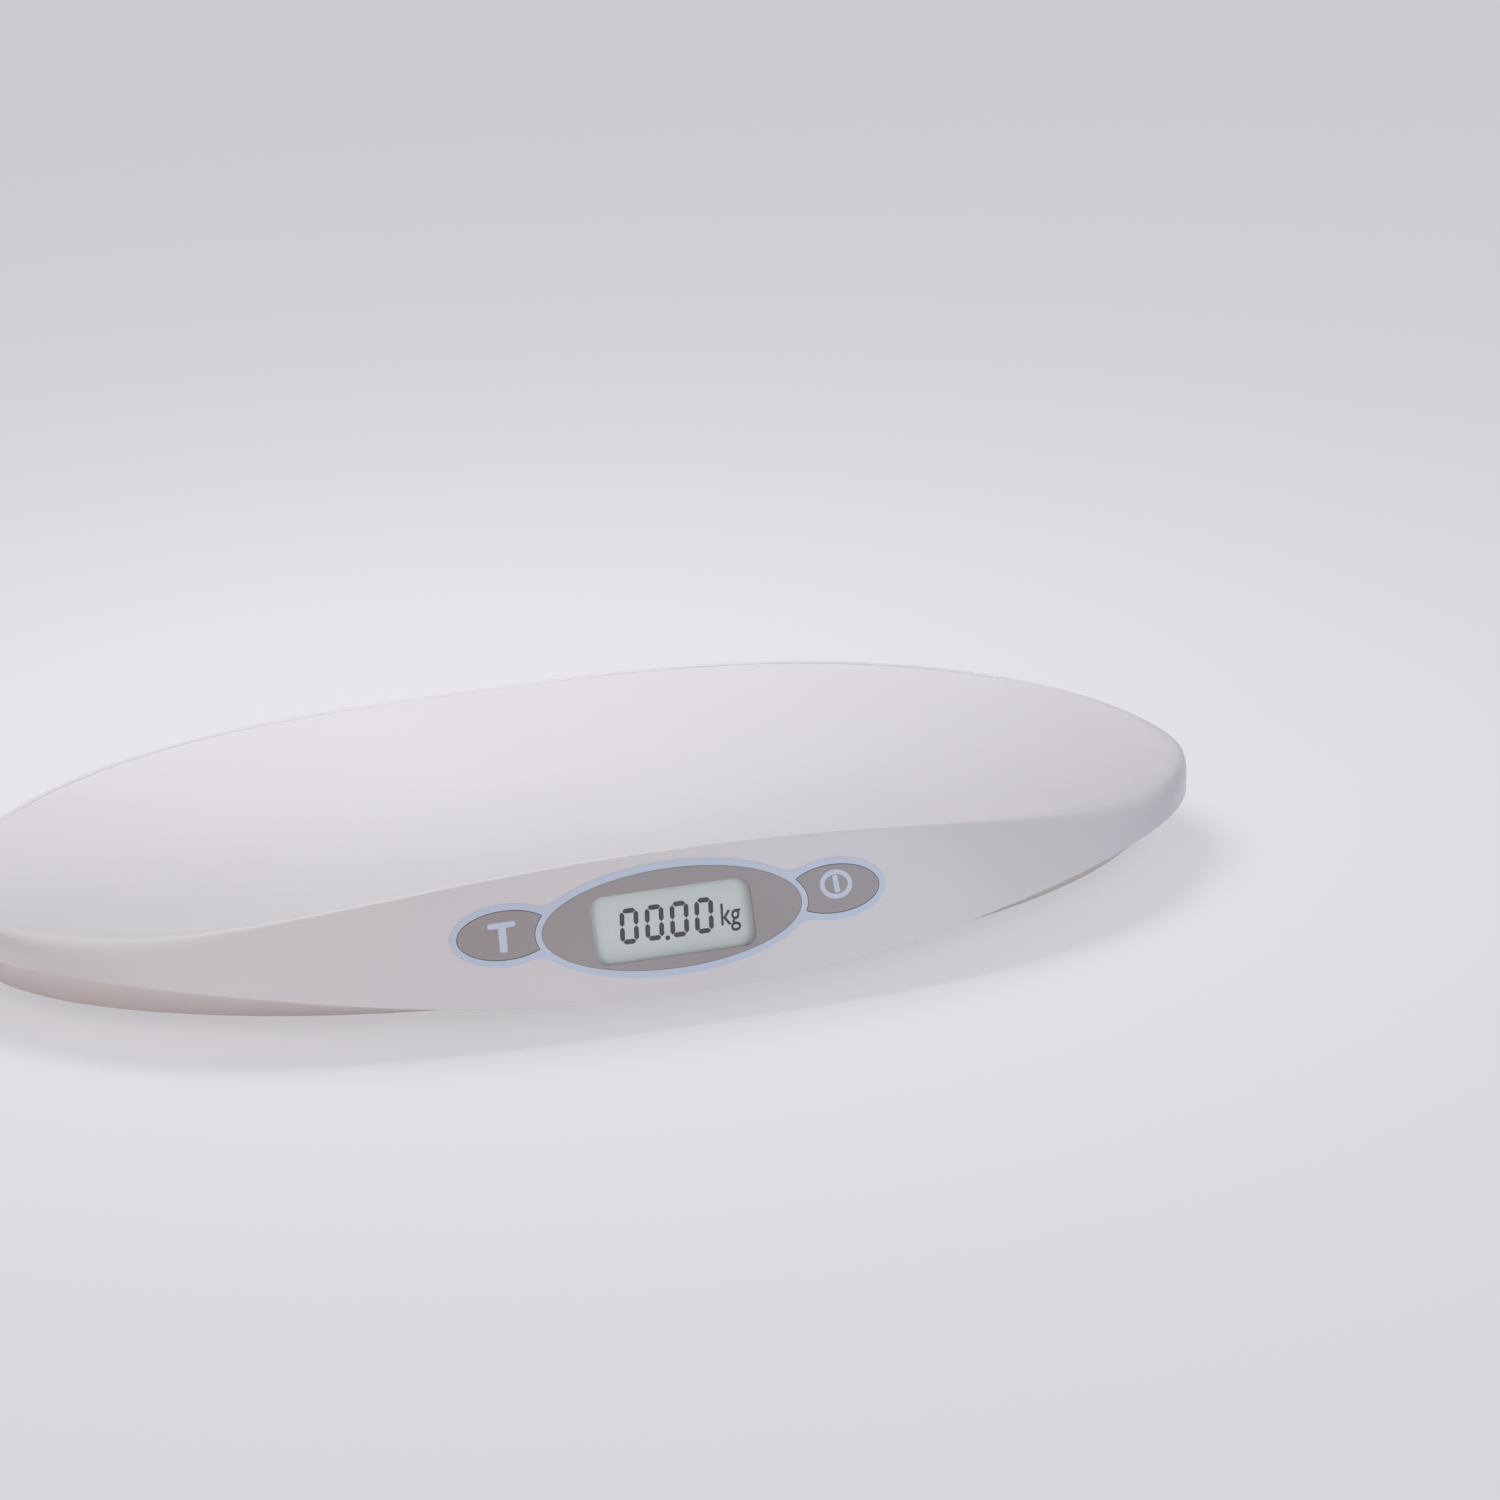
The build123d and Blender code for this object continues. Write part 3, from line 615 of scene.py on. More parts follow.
BLACK_PART = Finish(
    "black_part", srgb(38, 38, 40), srgb(46, 46, 48),
    roughness=0.44, handled=0.4, grain_scale=4000.0, grain_depth=0.00001,
)
CONNECTOR_WHITE = Finish(
    "connector_white", srgb(224, 216, 196), srgb(218, 209, 188), roughness=0.46, handled=0.4
)
BARE_ALUMINIUM = Finish(
    "bare_aluminium", srgb(206, 207, 210), srgb(192, 194, 198),
    roughness=0.34, handled=0.42, grain_scale=3200.0, grain_depth=0.00001, metallic=1.0,
)
ZINC_STEEL = Finish(
    "zinc_steel", srgb(196, 198, 200), srgb(178, 180, 186),
    roughness=0.3, handled=0.4, grain_scale=1500.0, grain_depth=0.00001, metallic=1.0,
)
NICKEL = Finish(
    "nickel", srgb(210, 204, 194), srgb(200, 192, 180),
    roughness=0.22, handled=0.3, grain_scale=1500.0, grain_depth=0.000006, metallic=1.0,
)
FOOT_GREY = Finish(
    "foot_grey", srgb(196, 190, 190), srgb(188, 182, 182),
    roughness=0.5, handled=0.44, grain_scale=2600.0, grain_depth=0.00002,
)
BATTERY_JACKET = Finish(
    "battery_jacket", srgb(52, 92, 70), srgb(46, 82, 62),
    roughness=0.3, handled=0.24, grain_scale=900.0, grain_depth=0.000006, coat=0.5,
)
DARK_SEGMENT = Finish(
    "display_segment", srgb(6, 6, 8), srgb(12, 12, 14), roughness=0.6, handled=0.55
)
KEY_PRINT = Finish(
    "key_print", srgb(215, 224, 241), srgb(210, 219, 237),
    roughness=0.42, handled=0.38, grain_scale=4000.0, grain_depth=0.000004,
)


class Wardrobe:
    """Makes each finish once and dresses pieces and CAD nodes with it."""

    def __init__(self, nodes: dict[str, Piece]) -> None:
        """Starts with no finish made.

        Args:
            nodes: The CAD nodes by name.
        """
        self.nodes = nodes
        self.effects = EffectLibrary()
        self.made: dict[str, bpy.types.Material] = {}

    def material(self, finish: Finish) -> bpy.types.Material:
        """Material of one finish, made when it is first asked for.

        Args:
            finish: The finish.

        Returns:
            Its material.
        """
        if finish.slot not in self.made:
            self.made[finish.slot] = finish.material(self.effects)
        return self.made[finish.slot]

    def dress_node(self, name: str, finish: Finish) -> None:
        """Gives a CAD node its finish.

        Args:
            name: The node.
            finish: Its finish.
        """
        node = self.nodes[name]
        node.data.materials.clear()
        node.data.materials.append(self.material(finish))
        LOG.info("dressed %s in %s", name, finish.slot)

    def dress_piece(
        self, piece: Piece, finish: Finish, body: str
    ) -> None:
        """Gives a new piece its finish and lets it ride on its body.

        Args:
            piece: The piece.
            finish: Its finish.
            body: The body that carries it.
        """
        piece.data.materials.clear()
        piece.data.materials.append(self.material(finish))
        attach(piece, body)
        LOG.info("built %s: %d faces in %s", piece.name, len(piece.data.polygons), finish.slot)


class Assembly:
    """A sub-assembly, with the finish of each CAD node that keeps its own shape."""

    finishes: ClassVar[dict[str, Finish]] = {}

    def dress(self, wardrobe: Wardrobe) -> None:
        """Gives each of its CAD nodes its finish."""
        for name, finish in self.finishes.items():
            wardrobe.dress_node(name, finish)


# ---------------------------------------------------------------- the tray


@dataclass(frozen=True)
class TrayForm:
    """Curves of the tray, in millimetres.

    Args:
        half_length: Middle to nose.
        half_depth: Middle to front lower edge.
        nose: Exponent of the oval's length.
        flank: Exponent of the oval's depth.
        floor: Lowest point of the dish.
        nose_height: Dish at both noses.
        rear_rise: Rear rim above the dish floor.
        front_rise: Rise of the front side over the full depth.
        front_fade: Rise lost towards the noses.
        front_regain: Rise that comes back at the noses.
        setback: Front crest behind the lower edge.
        setback_fade: How late the setback runs out.
        nose_undercut: Lower edge behind the nose.
        rear_undercut: Lower edge inside the rear rim.
        edge_centre: Lower edge above the table at the middle.
        edge_nose: The same at the noses.
        edge_sweep: How early the lower edge climbs.
        panel_rise: Panel centre above the lower edge, up the slope.
    """

    half_length: float = 300.0
    half_depth: float = 157.0
    nose: float = 2.65
    flank: float = 0.55
    floor: float = 33.0
    nose_height: float = 45.0
    rear_rise: float = 24.0
    front_rise: float = 61.0
    front_fade: float = 46.0
    front_regain: float = 28.0
    setback: float = 23.0
    setback_fade: float = 6.0
    nose_undercut: float = 2.0
    rear_undercut: float = 12.0
    edge_centre: float = 14.0
    edge_nose: float = 29.0
    edge_sweep: float = 3.6
    panel_rise: float = 34.4

    def depth_at(self, t: float, half_depth: float) -> float:
        """Half depth of the oval at the fraction t of its half length."""
        return half_depth * (1 - min(1.0, abs(t)) ** self.nose) ** self.flank

    def dish_height(self, x: float, y: float) -> float:
        """Height of the weighing surface at one place.

        Args:
            x: The place along the tray.
            y: The place across it.

        Returns:
            The height above the table.
        """
        t, u = x / self.half_length, y / self.half_depth
        valley = self.floor + (self.nose_height - self.floor) * (t**2 + t**4) / 2
        front = self.front_rise - self.front_fade * t**2 + self.front_regain * t**4
        return valley + (front + self.rear_rise) / 2 * u**2 - (front - self.rear_rise) / 2 * u**3

    def crest(self, t: float, side: int) -> Vector:
        """Point of the rim.

        Args:
            t: Fraction of the half length.
            side: 1 for the rear, -1 for the front.

        Returns:
            The point.
        """
        y = self.depth_at(t, self.half_depth)
        if side < 0:
            y = max(0.0, y - self.setback * (1 - abs(t) ** self.setback_fade))
        x = t * self.half_length
        return Vector((x, side * y, self.dish_height(x, side * y)))

    def edge(self, t: float, side: int) -> Vector:
        """Point of the tray's lower edge.

        Args:
            t: Fraction of the half length.
            side: 1 for the rear, -1 for the front.

        Returns:
            The point.
        """
        x = t * (self.half_length - self.nose_undercut)
        share = abs(x) / self.half_length
        rise = self.edge_sweep * share**2 - (self.edge_sweep - 1) * share**4
        y = side * self.depth_at(t, self.half_depth - (self.rear_undercut if side > 0 else 0.0))
        return Vector((x, y, self.edge_centre + (self.edge_nose - self.edge_centre) * rise))

    def panel(self) -> Matrix:
        """Frame of the leaning panel plane: right, up the slope, and outwards.

        Returns:
            The plane's matrix in metres.
        """
        foot, crest = self.edge(0, -1), self.crest(0, -1)
        up = (crest - foot).normalized()
        right = Vector((1, 0, 0))
        frame = Matrix((right, up, right.cross(up))).transposed().to_4x4()
        frame.translation = (foot + up * self.panel_rise) * MM
        return frame


@dataclass(frozen=True)
class PanelForm:
    """The three ovals of the panel in its plane, in millimetres.

    Args:
        fascia_length: Length of the oval fascia.
        fascia_height: Its height.
        key_pitch: Key centres from the middle.
        key_rise: Key centres above the panel's middle line.
        key_length: Length of a key's oval.
        key_height: Its height.
        outline_steps: Steps along the upper half of the opening's outline.
    """

    fascia_length: float = 123.0
    fascia_height: float = 45.0
    key_pitch: float = 77.8
    key_rise: float = 2.8
    key_length: float = 44.0
    key_height: float = 21.6
    outline_steps: int = 160

    def bound(self, u: float, way: int, grow: float) -> float:
        """Highest or lowest edge of the ovals at one place.

        Args:
            u: The place along the panel.
            way: 1 for the highest edge, -1 for the lowest.
            grow: How far the ovals are grown.

        Returns:
            The edge's height in the plane.
        """
        ovals = [(0.0, 0.0, self.fascia_length / 2, self.fascia_height / 2)]
        for side in (-1, 1):
            centre = side * self.key_pitch
            ovals.append((centre, self.key_rise, self.key_length / 2, self.key_height / 2))
        found = []
        for centre, middle, half_length, half_height in ovals:
            inside = 1 - ((u - centre) / (half_length + grow)) ** 2
            if inside >= -ROUNDING:
                found.append(middle + way * (half_height + grow) * math.sqrt(max(0.0, inside)))
        return way * max(way * v for v in found)

    def opening(self, grow: float) -> list[Spot]:
        """Outline of the opening under the border, round all three ovals.

        Args:
            grow: How far the opening lies outside the ovals.

        Returns:
            The outline's points in the plane, from its right end over its top.
        """
        reach = self.key_pitch + self.key_length / 2 + grow
        turns = [math.pi * k / self.outline_steps for k in range(self.outline_steps + 1)]
        spots = [reach * math.cos(turn) for turn in turns]
        upper = [(u, self.bound(u, 1, grow)) for u in spots]
        lower = [(u, self.bound(u, -1, grow)) for u in reversed(spots[1:-1])]
        return upper + lower


class Section(Enum):
    """Parts of the tray's cross-section."""

    SIDE = "side"
    ROLL = "roll"
    DISH = "dish"


@dataclass
class WeighingTray:
    """The upper moulding: dish, rolled rim, leaning face and the opening for the panel.

    Args:
        form: The tray's curves.
        panel: The panel's ovals.
        stations: Points round the outline.
        dish_loops: Loops of the dish from the rim to its middle field.
        middle: Size of the middle field as a share of the outline.
        roll_steps: Steps over the rolled rim.
        side_loops: Loops down the side.
        front_roll: Reach of the roll at the front crest, into the dish and down the side.
        nose_roll: The same at the noses.
        rear_roll: The same at the rear rim.
        shoulder_roll: What the front roll gains between the middle and the noses.
        shoulder_spot: Where it gains the most, and how far that spreads.
        front_onset: Exponent of how late the nose's roll sets in along the front.
        rear_onset: The same along the rear.
        shoulder_end: Exponent of how late the shoulder's gain runs out at the nose.
        roll_lift: How far the roll stands up to the crisp rim, as a share of its reach down.
        roll_lead: How far the dish runs on into the roll, as a share of its reach inwards.
        wall: Thickness of the skin.
        opening_grow: Opening outside the fascia and the keys.
        cutter_reach: How far the opening's cutter stands out on both sides of the panel plane.
    """

    form: TrayForm = TrayForm()
    panel: PanelForm = PanelForm()
    stations: int = 288
    dish_loops: int = 26
    middle: float = 0.3
    roll_steps: int = 12
    side_loops: int = 7
    front_roll: Pair = (4.0, 1.8)
    nose_roll: Pair = (20.0, 9.5)
    rear_roll: Pair = (2.4, 1.4)
    shoulder_roll: Pair = (36.0, 9.0)
    shoulder_spot: Pair = (0.88, 0.21)
    front_onset: int = 6
    rear_onset: int = 16
    shoulder_end: int = 12
    roll_lift: float = 0.3
    roll_lead: float = 0.65
    wall: float = 2.8
    opening_grow: float = 1.6
    cutter_reach: float = 30.0

    def station(self, index: int) -> tuple[float, int]:
        """Fraction of the half length and side, counted from the right nose round the rear."""
        turn = 2 * math.pi * index / self.stations
        return math.cos(turn), (1 if math.sin(turn) >= 0 else -1)

    def roll_at(self, t: float, side: int) -> Pair:
        """Reach of the rolled rim at one place.

        Args:
            t: Fraction of the half length.
            side: 1 for the rear, -1 for the front.

        Returns:
            The reach into the dish and the reach down the side.
        """
        t = abs(t)
        if side > 0:
            middle, share, gain = self.rear_roll, t**self.rear_onset, 0.0
        else:
            spot, spread = self.shoulder_spot
            middle, share = self.front_roll, t**self.front_onset
            gain = math.exp(-(((t - spot) / spread) ** 2)) * (1 - t**self.shoulder_end)
        rolls = zip(middle, self.nose_roll, self.shoulder_roll)
        return tuple(a + (b - a) * share + c * gain for a, b, c in rolls)

    def profile(self) -> list[tuple[Section, float]]:
        """Steps of the cross-section from the seam over the rim into the dish.

        Returns:
            The part of the cross-section and the share of it, for each step.
        """
        side = [(Section.SIDE, 1 - k / self.side_loops) for k in range(self.side_loops)]
        roll = [(Section.ROLL, 1 - k / self.roll_steps) for k in range(self.roll_steps)]
        dish = [(Section.DISH, k / self.dish_loops) for k in range(self.dish_loops + 1)]
        return side + roll + dish

    def point(self, index: int, part: Section, share: float) -> Vector:
        """One point of the skin.

        Args:
            index: Point round the outline.
            part: Which part of the cross-section.
            share: How far along that part.

        Returns:
            The point in metres.
        """
        t, side = self.station(index)
        crest, edge = self.form.crest(t, side), self.form.edge(t, side)
        inward, down = self.roll_at(t, side)
        lip = crest + (edge - crest).normalized() * down
        start = 1 - inward / crest.xy.length
        if part is Section.SIDE:
            return lip.lerp(edge, share) * MM
        if part is Section.DISH:
            scale = start + (self.middle - start) * share
            x, y = crest.x * scale, crest.y * scale
            return Vector((x, y, self.form.dish_height(x, y))) * MM
        x, y = crest.x * start, crest.y * start
        inner = Vector((x, y, self.form.dish_height(x, y)))
        corner = crest + (crest - lip) * self.roll_lift
        lead, rest = inner.lerp(crest, self.roll_lead), 1 - share
        run = inner * rest**3 + lead * (3 * rest**2 * share) + corner * (3 * rest * share**2)
        return (run + lip * share**3) * MM

    def build_skin(self) -> Piece:
        """Draws the lowest loop and extrudes it up the side, over the rim and into the dish.

        Returns:
            The skin, still without a thickness.
        """
        deselect()
        bpy.ops.mesh.primitive_circle_add(
            vertices=self.stations, radius=self.form.half_length * MM
        )
        tray = newest("tray_moulding")
        layer = tray.data.attributes.new("station", "INT", "POINT")
        for number in range(self.stations):
            layer.data[number].value = number
        with editing(tray):
            steps = self.profile()
            self.lay_loop(tray, *steps[0])
            for part, share in steps[1:]:
                bpy.ops.mesh.extrude_edges_move()
                self.lay_loop(tray, part, share)
            bpy.ops.mesh.fill_grid(span=self.stations // 4)
            self.lay_middle(tray)
            bpy.ops.mesh.select_all(action="SELECT")
            bpy.ops.mesh.normals_make_consistent(inside=False)
            self.face_up(tray)
        tray.data.attributes.remove(tray.data.attributes["station"])
        return tray

    def lay_loop(self, tray: Piece, part: Section, share: float) -> None:
        """Puts the selected loop's points in their places.

        Args:
            tray: The tray in edit mode.
            part: Which part of the cross-section the loop is in.
            share: How far along that part.
        """
        mesh = bmesh.from_edit_mesh(tray.data)
        layer = mesh.verts.layers.int["station"]
        for vertex in mesh.verts:
            if vertex.select:
                vertex.co = self.point(vertex[layer], part, share)
        bmesh.update_edit_mesh(tray.data)

    def lay_middle(self, tray: Piece) -> None:
        """Puts the selected middle field on the weighing surface.

        Args:
            tray: The tray in edit mode.
        """
        mesh = bmesh.from_edit_mesh(tray.data)
        for vertex in mesh.verts:
            if vertex.select:
                vertex.co.z = self.form.dish_height(vertex.co.x / MM, vertex.co.y / MM) * MM
        bmesh.update_edit_mesh(tray.data)

    @staticmethod
    def face_up(tray: Piece) -> None:
        """Turns the whole skin over if its dish looks downwards.

        Args:
            tray: The tray in edit mode, all selected.
        """
        mesh = bmesh.from_edit_mesh(tray.data)
        central = min(mesh.faces, key=lambda face: face.calc_center_median().xy.length)
        if central.normal.z < 0:
            bpy.ops.mesh.flip_normals()

    def cut_opening(self, tray: Piece) -> None:
        """Cuts the opening that the panel's border covers.

        Args:
            tray: The tray with its thickness.
        """
        outline, reach = self.panel.opening(self.opening_grow), self.cutter_reach * MM
        deselect()
        bpy.ops.mesh.primitive_circle_add(vertices=len(outline), radius=reach, fill_type="NGON")
        cutter = newest("opening_cutter")
        for vertex, (u, v) in zip(cutter.data.vertices, outline):
            vertex.co = Vector((u * MM, v * MM, -reach))
        with editing(cutter):
            bpy.ops.mesh.extrude_region_move(TRANSFORM_OT_translate={"value": (0, 0, 2 * reach)})
            bpy.ops.mesh.select_all(action="SELECT")
            bpy.ops.mesh.normals_make_consistent(inside=False)
        cutter.matrix_world = self.form.panel()
        freeze(cutter)
        cut(tray, cutter)

    def build(self, wardrobe: Wardrobe) -> Piece:
        """Builds the tray and lets it stand for the CAD moulding.

        Args:
            wardrobe: Where its finish comes from.

        Returns:
            The tray.
        """
        tray = self.build_skin()
        wall = self.wall * MM
        apply_modifier(
            tray, "SOLIDIFY", thickness=wall, offset=-1.0, use_even_offset=True, use_rim=True
        )
        self.cut_opening(tray)
        smooth(tray)
        wardrobe.dress_piece(tray, WHITE_SHELL, "housing")
        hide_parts("tray_shell")
        return tray


@dataclass
class TrayPosts:
    """Posts inside the tray that its screws bite into, in millimetres.

    Args:
        form: The tray's curves.
        casing_spots: Places of the casing screws' posts.
        casing_rise: Foot of such a post above the table, and the end of its bore.
        casing_radii: Radius of such a post, and of its bore.
        head_sink: How far below the weighing surface its head ends, inside the skin.
        board_spots: Places of the board screws' posts from the panel's middle.
        board_depths: Front end, end of its bore and rear end of such a post behind the panel plane.
        board_radii: Radius of such a post, and of its bore.
        overrun: How far a bore is cut past the post's open end.
        round_steps: Sides of a post.
    """

    form: TrayForm = TrayForm()
    casing_spots: tuple[Spot, ...] = (
        (240.0, 0.0), (-240.0, 0.0), (112.0, 90.0), (-112.0, 90.0), (112.0, -84.0), (-112.0, -84.0)
    )
    casing_rise: Pair = (15.05, 29.6)
    casing_radii: Pair = (4.6, 1.55)
    head_sink: float = 1.6
    board_spots: tuple[Spot, ...] = ((50.0, 14.5), (-50.0, 14.5), (-50.0, -14.5), (50.0, -14.5))
    board_depths: tuple[float, float, float] = (2.6, 6.1, 13.45)
    board_radii: Pair = (3.2, 1.3)
    overrun: float = 1.0
    round_steps: int = 48

    def rod(self, radius: float, low: float, high: float, place: Matrix) -> Piece:
        """One rod along the upright of a place, from one height to another.

        Args:
            radius: The rod's radius.
            low: Its lower end.
            high: Its upper end.
            place: Where its axis stands, in metres.

        Returns:
            The rod, with its place in its mesh.
        """
        deselect()
        bpy.ops.mesh.primitive_cylinder_add(
            vertices=self.round_steps,
            radius=radius * MM,
            depth=(high - low) * MM,
            end_fill_type="TRIFAN",
        )
        rod = newest("tray_rod")
        rod.matrix_world = place @ Matrix.Translation((0, 0, (high + low) / 2 * MM))
        freeze(rod)
        return rod

    def casing_post(self, place: Matrix) -> Piece:
        """One post for a casing screw, whose head follows the weighing surface.

        Args:
            place: Where it stands, in metres.

        Returns:
            The post, still without its bore.
        """
        foot, bore_end = self.casing_rise
        post = self.rod(self.casing_radii[0], foot, bore_end, place)
        for vertex in post.data.vertices:
            if vertex.co.z > (foot + bore_end) / 2 * MM:
                height = self.form.dish_height(vertex.co.x / MM, vertex.co.y / MM)
                vertex.co.z = (height - self.head_sink) * MM
        return post

    def build(self, wardrobe: Wardrobe) -> Piece:
        """Builds all the posts as one piece.

        Args:
            wardrobe: Where their finish comes from.

        Returns:
            The posts.
        """
        posts, bores = [], []
        foot, bore_end = self.casing_rise
        for x, y in self.casing_spots:
            place = Matrix.Translation((x * MM, y * MM, 0))
            posts.append(self.casing_post(place))
            bores.append(self.rod(self.casing_radii[1], foot - self.overrun, bore_end, place))
        front, bore_end, rear = self.board_depths
        for u, v in self.board_spots:
            place = self.form.panel() @ Matrix.Translation((u * MM, v * MM, 0))
            posts.append(self.rod(self.board_radii[0], -rear, -front, place))
            bores.append(self.rod(self.board_radii[1], -rear - self.overrun, -bore_end, place))
        post = join(posts, "tray_posts")
        cut(post, join(bores, "post_bores"))
        smooth(post)
        wardrobe.dress_piece(post, WHITE_SHELL, "housing")
        return post


# ---------------------------------------------------------------- the panel


@dataclass(frozen=True)
class Stroke:
    """One printed stroke in the panel plane, in millimetres.

    Args:
        start: Middle of its first end's corners.
        end: The same at its other end.
        width: Its width.
        corner: Radius of its corners, or None for round ends.
        steps: Points round its corners, all four together.
    """

    start: Spot
    end: Spot
    width: float
    corner: Optional[float] = None
    steps: int = 28

    def build(self) -> Piece:
        """Draws a disc and moves its quarters apart to make a bar with rounded corners.

        Returns:
            The flat stroke in the panel plane.
        """
        (u0, v0), (u1, v1) = self.start, self.end
        length, angle = math.hypot(u1 - u0, v1 - v0), math.atan2(v1 - v0, u1 - u0)
        corner = self.corner or self.width / 2
        deselect()
        bpy.ops.mesh.primitive_circle_add(
            vertices=self.steps, radius=corner * MM, fill_type="NGON"
        )
        made = newest("stroke")
        made.data.transform(Matrix.Rotation(math.pi / self.steps, 4, "Z"))
        for vertex in made.data.vertices:
            vertex.co.x += length * MM if vertex.co.x > 0 else 0.0
            vertex.co.y += math.copysign(self.width / 2 - corner, vertex.co.y) * MM
        place = Matrix.Translation((u0 * MM, v0 * MM, 0)) @ Matrix.Rotation(angle, 4, "Z")
        made.data.transform(place)
        return made


@dataclass
class ControlPanel(Assembly):
    """Border, fascia and two keys, with the signs on the keys. Lengths in millimetres.

    Args:
        print_lift: How far the print stands off the key.
        print_thick: Thickness of the print.
        cast_height: How far off the panel plane a print starts before it is laid on its key.
        cast_reach: How far it looks for the key from there.
        tare_strokes: Bar and stem of the tare sign.
        power_centre: Middle of the power sign's ring in the panel plane.
        ring_radii: Half width and half height of that ring, at its middle line.
        ring_width: Width of that ring.
        ring_steps: Points round it.
        power_bar: Bar inside the ring.
    """

    finishes: ClassVar[dict[str, Finish]] = {
        "panel_border": PALE_BLUE,
        "display_fascia": PANEL_GREY,
        "tare_key": PANEL_GREY,
        "power_key": PANEL_GREY,
    }
    print_lift: float = 0.05
    print_thick: float = 0.12
    cast_height: float = 6.0
    cast_reach: float = 30.0
    tare_strokes: tuple[Stroke, ...] = (
        Stroke((-84.2, 7.5), (-73.9, 7.5), width=2.5),
        Stroke((-78.9, 7.3), (-79.5, -3.9), width=3.5, corner=0.7),
    )
    power_centre: Spot = (79.0, 4.7)
    ring_radii: Pair = (6.8, 5.55)
    ring_width: float = 2.2
    ring_steps: int = 64
    power_bar: Stroke = Stroke((79.2, 1.8), (78.9, 7.9), width=2.6, corner=0.9)

    def ring(self) -> Piece:
        """Flat oval ring of the power sign, extruded from its inner outline.

        Returns:
            The flat ring.
        """
        inner = [radius - self.ring_width / 2 for radius in self.ring_radii]
        outer = [radius + self.ring_width / 2 for radius in self.ring_radii]
        deselect()
        bpy.ops.mesh.primitive_circle_add(vertices=self.ring_steps, radius=MM)
        made = newest("ring")
        with editing(made):
            bpy.ops.transform.resize(value=(inner[0], inner[1], 1))
            bpy.ops.mesh.extrude_edges_move()
            bpy.ops.transform.resize(value=(outer[0] / inner[0], outer[1] / inner[1], 1))
        u, v = self.power_centre
        made.data.transform(Matrix.Translation((u * MM, v * MM, 0)))
        return made

    def lay_on(self, sign: Piece, key: Piece, frame: Matrix) -> None:
        """Lays a flat sign on a key's own surface and gives it a thickness.

        Args:
            sign: The flat sign in the panel plane.
            key: The key that carries it.
            frame: The panel plane.
        """
        with editing(sign):
            bpy.ops.mesh.quads_convert_to_tris()
            bpy.ops.mesh.subdivide(number_cuts=1)
        sign.data.transform(Matrix.Translation((0, 0, self.cast_height * MM)))
        sign.data.transform(frame)
        outwards = frame.to_3x3() @ Vector((0, 0, 1))
        surface = bmesh.new()
        surface.from_mesh(key.data)
        tree = BVHTree.FromBMesh(surface)
        for vertex in sign.data.vertices:
            spot, _, _, _ = tree.ray_cast(vertex.co, -outwards, self.cast_reach * MM)
            if spot is not None:
                vertex.co = spot + outwards * self.print_lift * MM
        surface.free()
        with editing(sign):
            bpy.ops.mesh.normals_make_consistent(inside=False)
        face_towards(sign, outwards)
        apply_modifier(sign, "SOLIDIFY", thickness=self.print_thick * MM, offset=-1.0)

    def build(self, wardrobe: Wardrobe, form: TrayForm) -> None:
        """Dresses the panel's nodes and prints the two signs.

        Args:
            wardrobe: Where the finishes come from.
            form: The tray's curves, which place the panel.
        """
        self.dress(wardrobe)
        signs = {
            "tare": [stroke.build() for stroke in self.tare_strokes],
            "power": [self.ring(), self.power_bar.build()],
        }
        for name, pieces in signs.items():
            sign, key = join(pieces, f"{name}_sign"), f"{name}_key"
            self.lay_on(sign, wardrobe.nodes[key], form.panel())
            wardrobe.dress_piece(sign, KEY_PRINT, key)


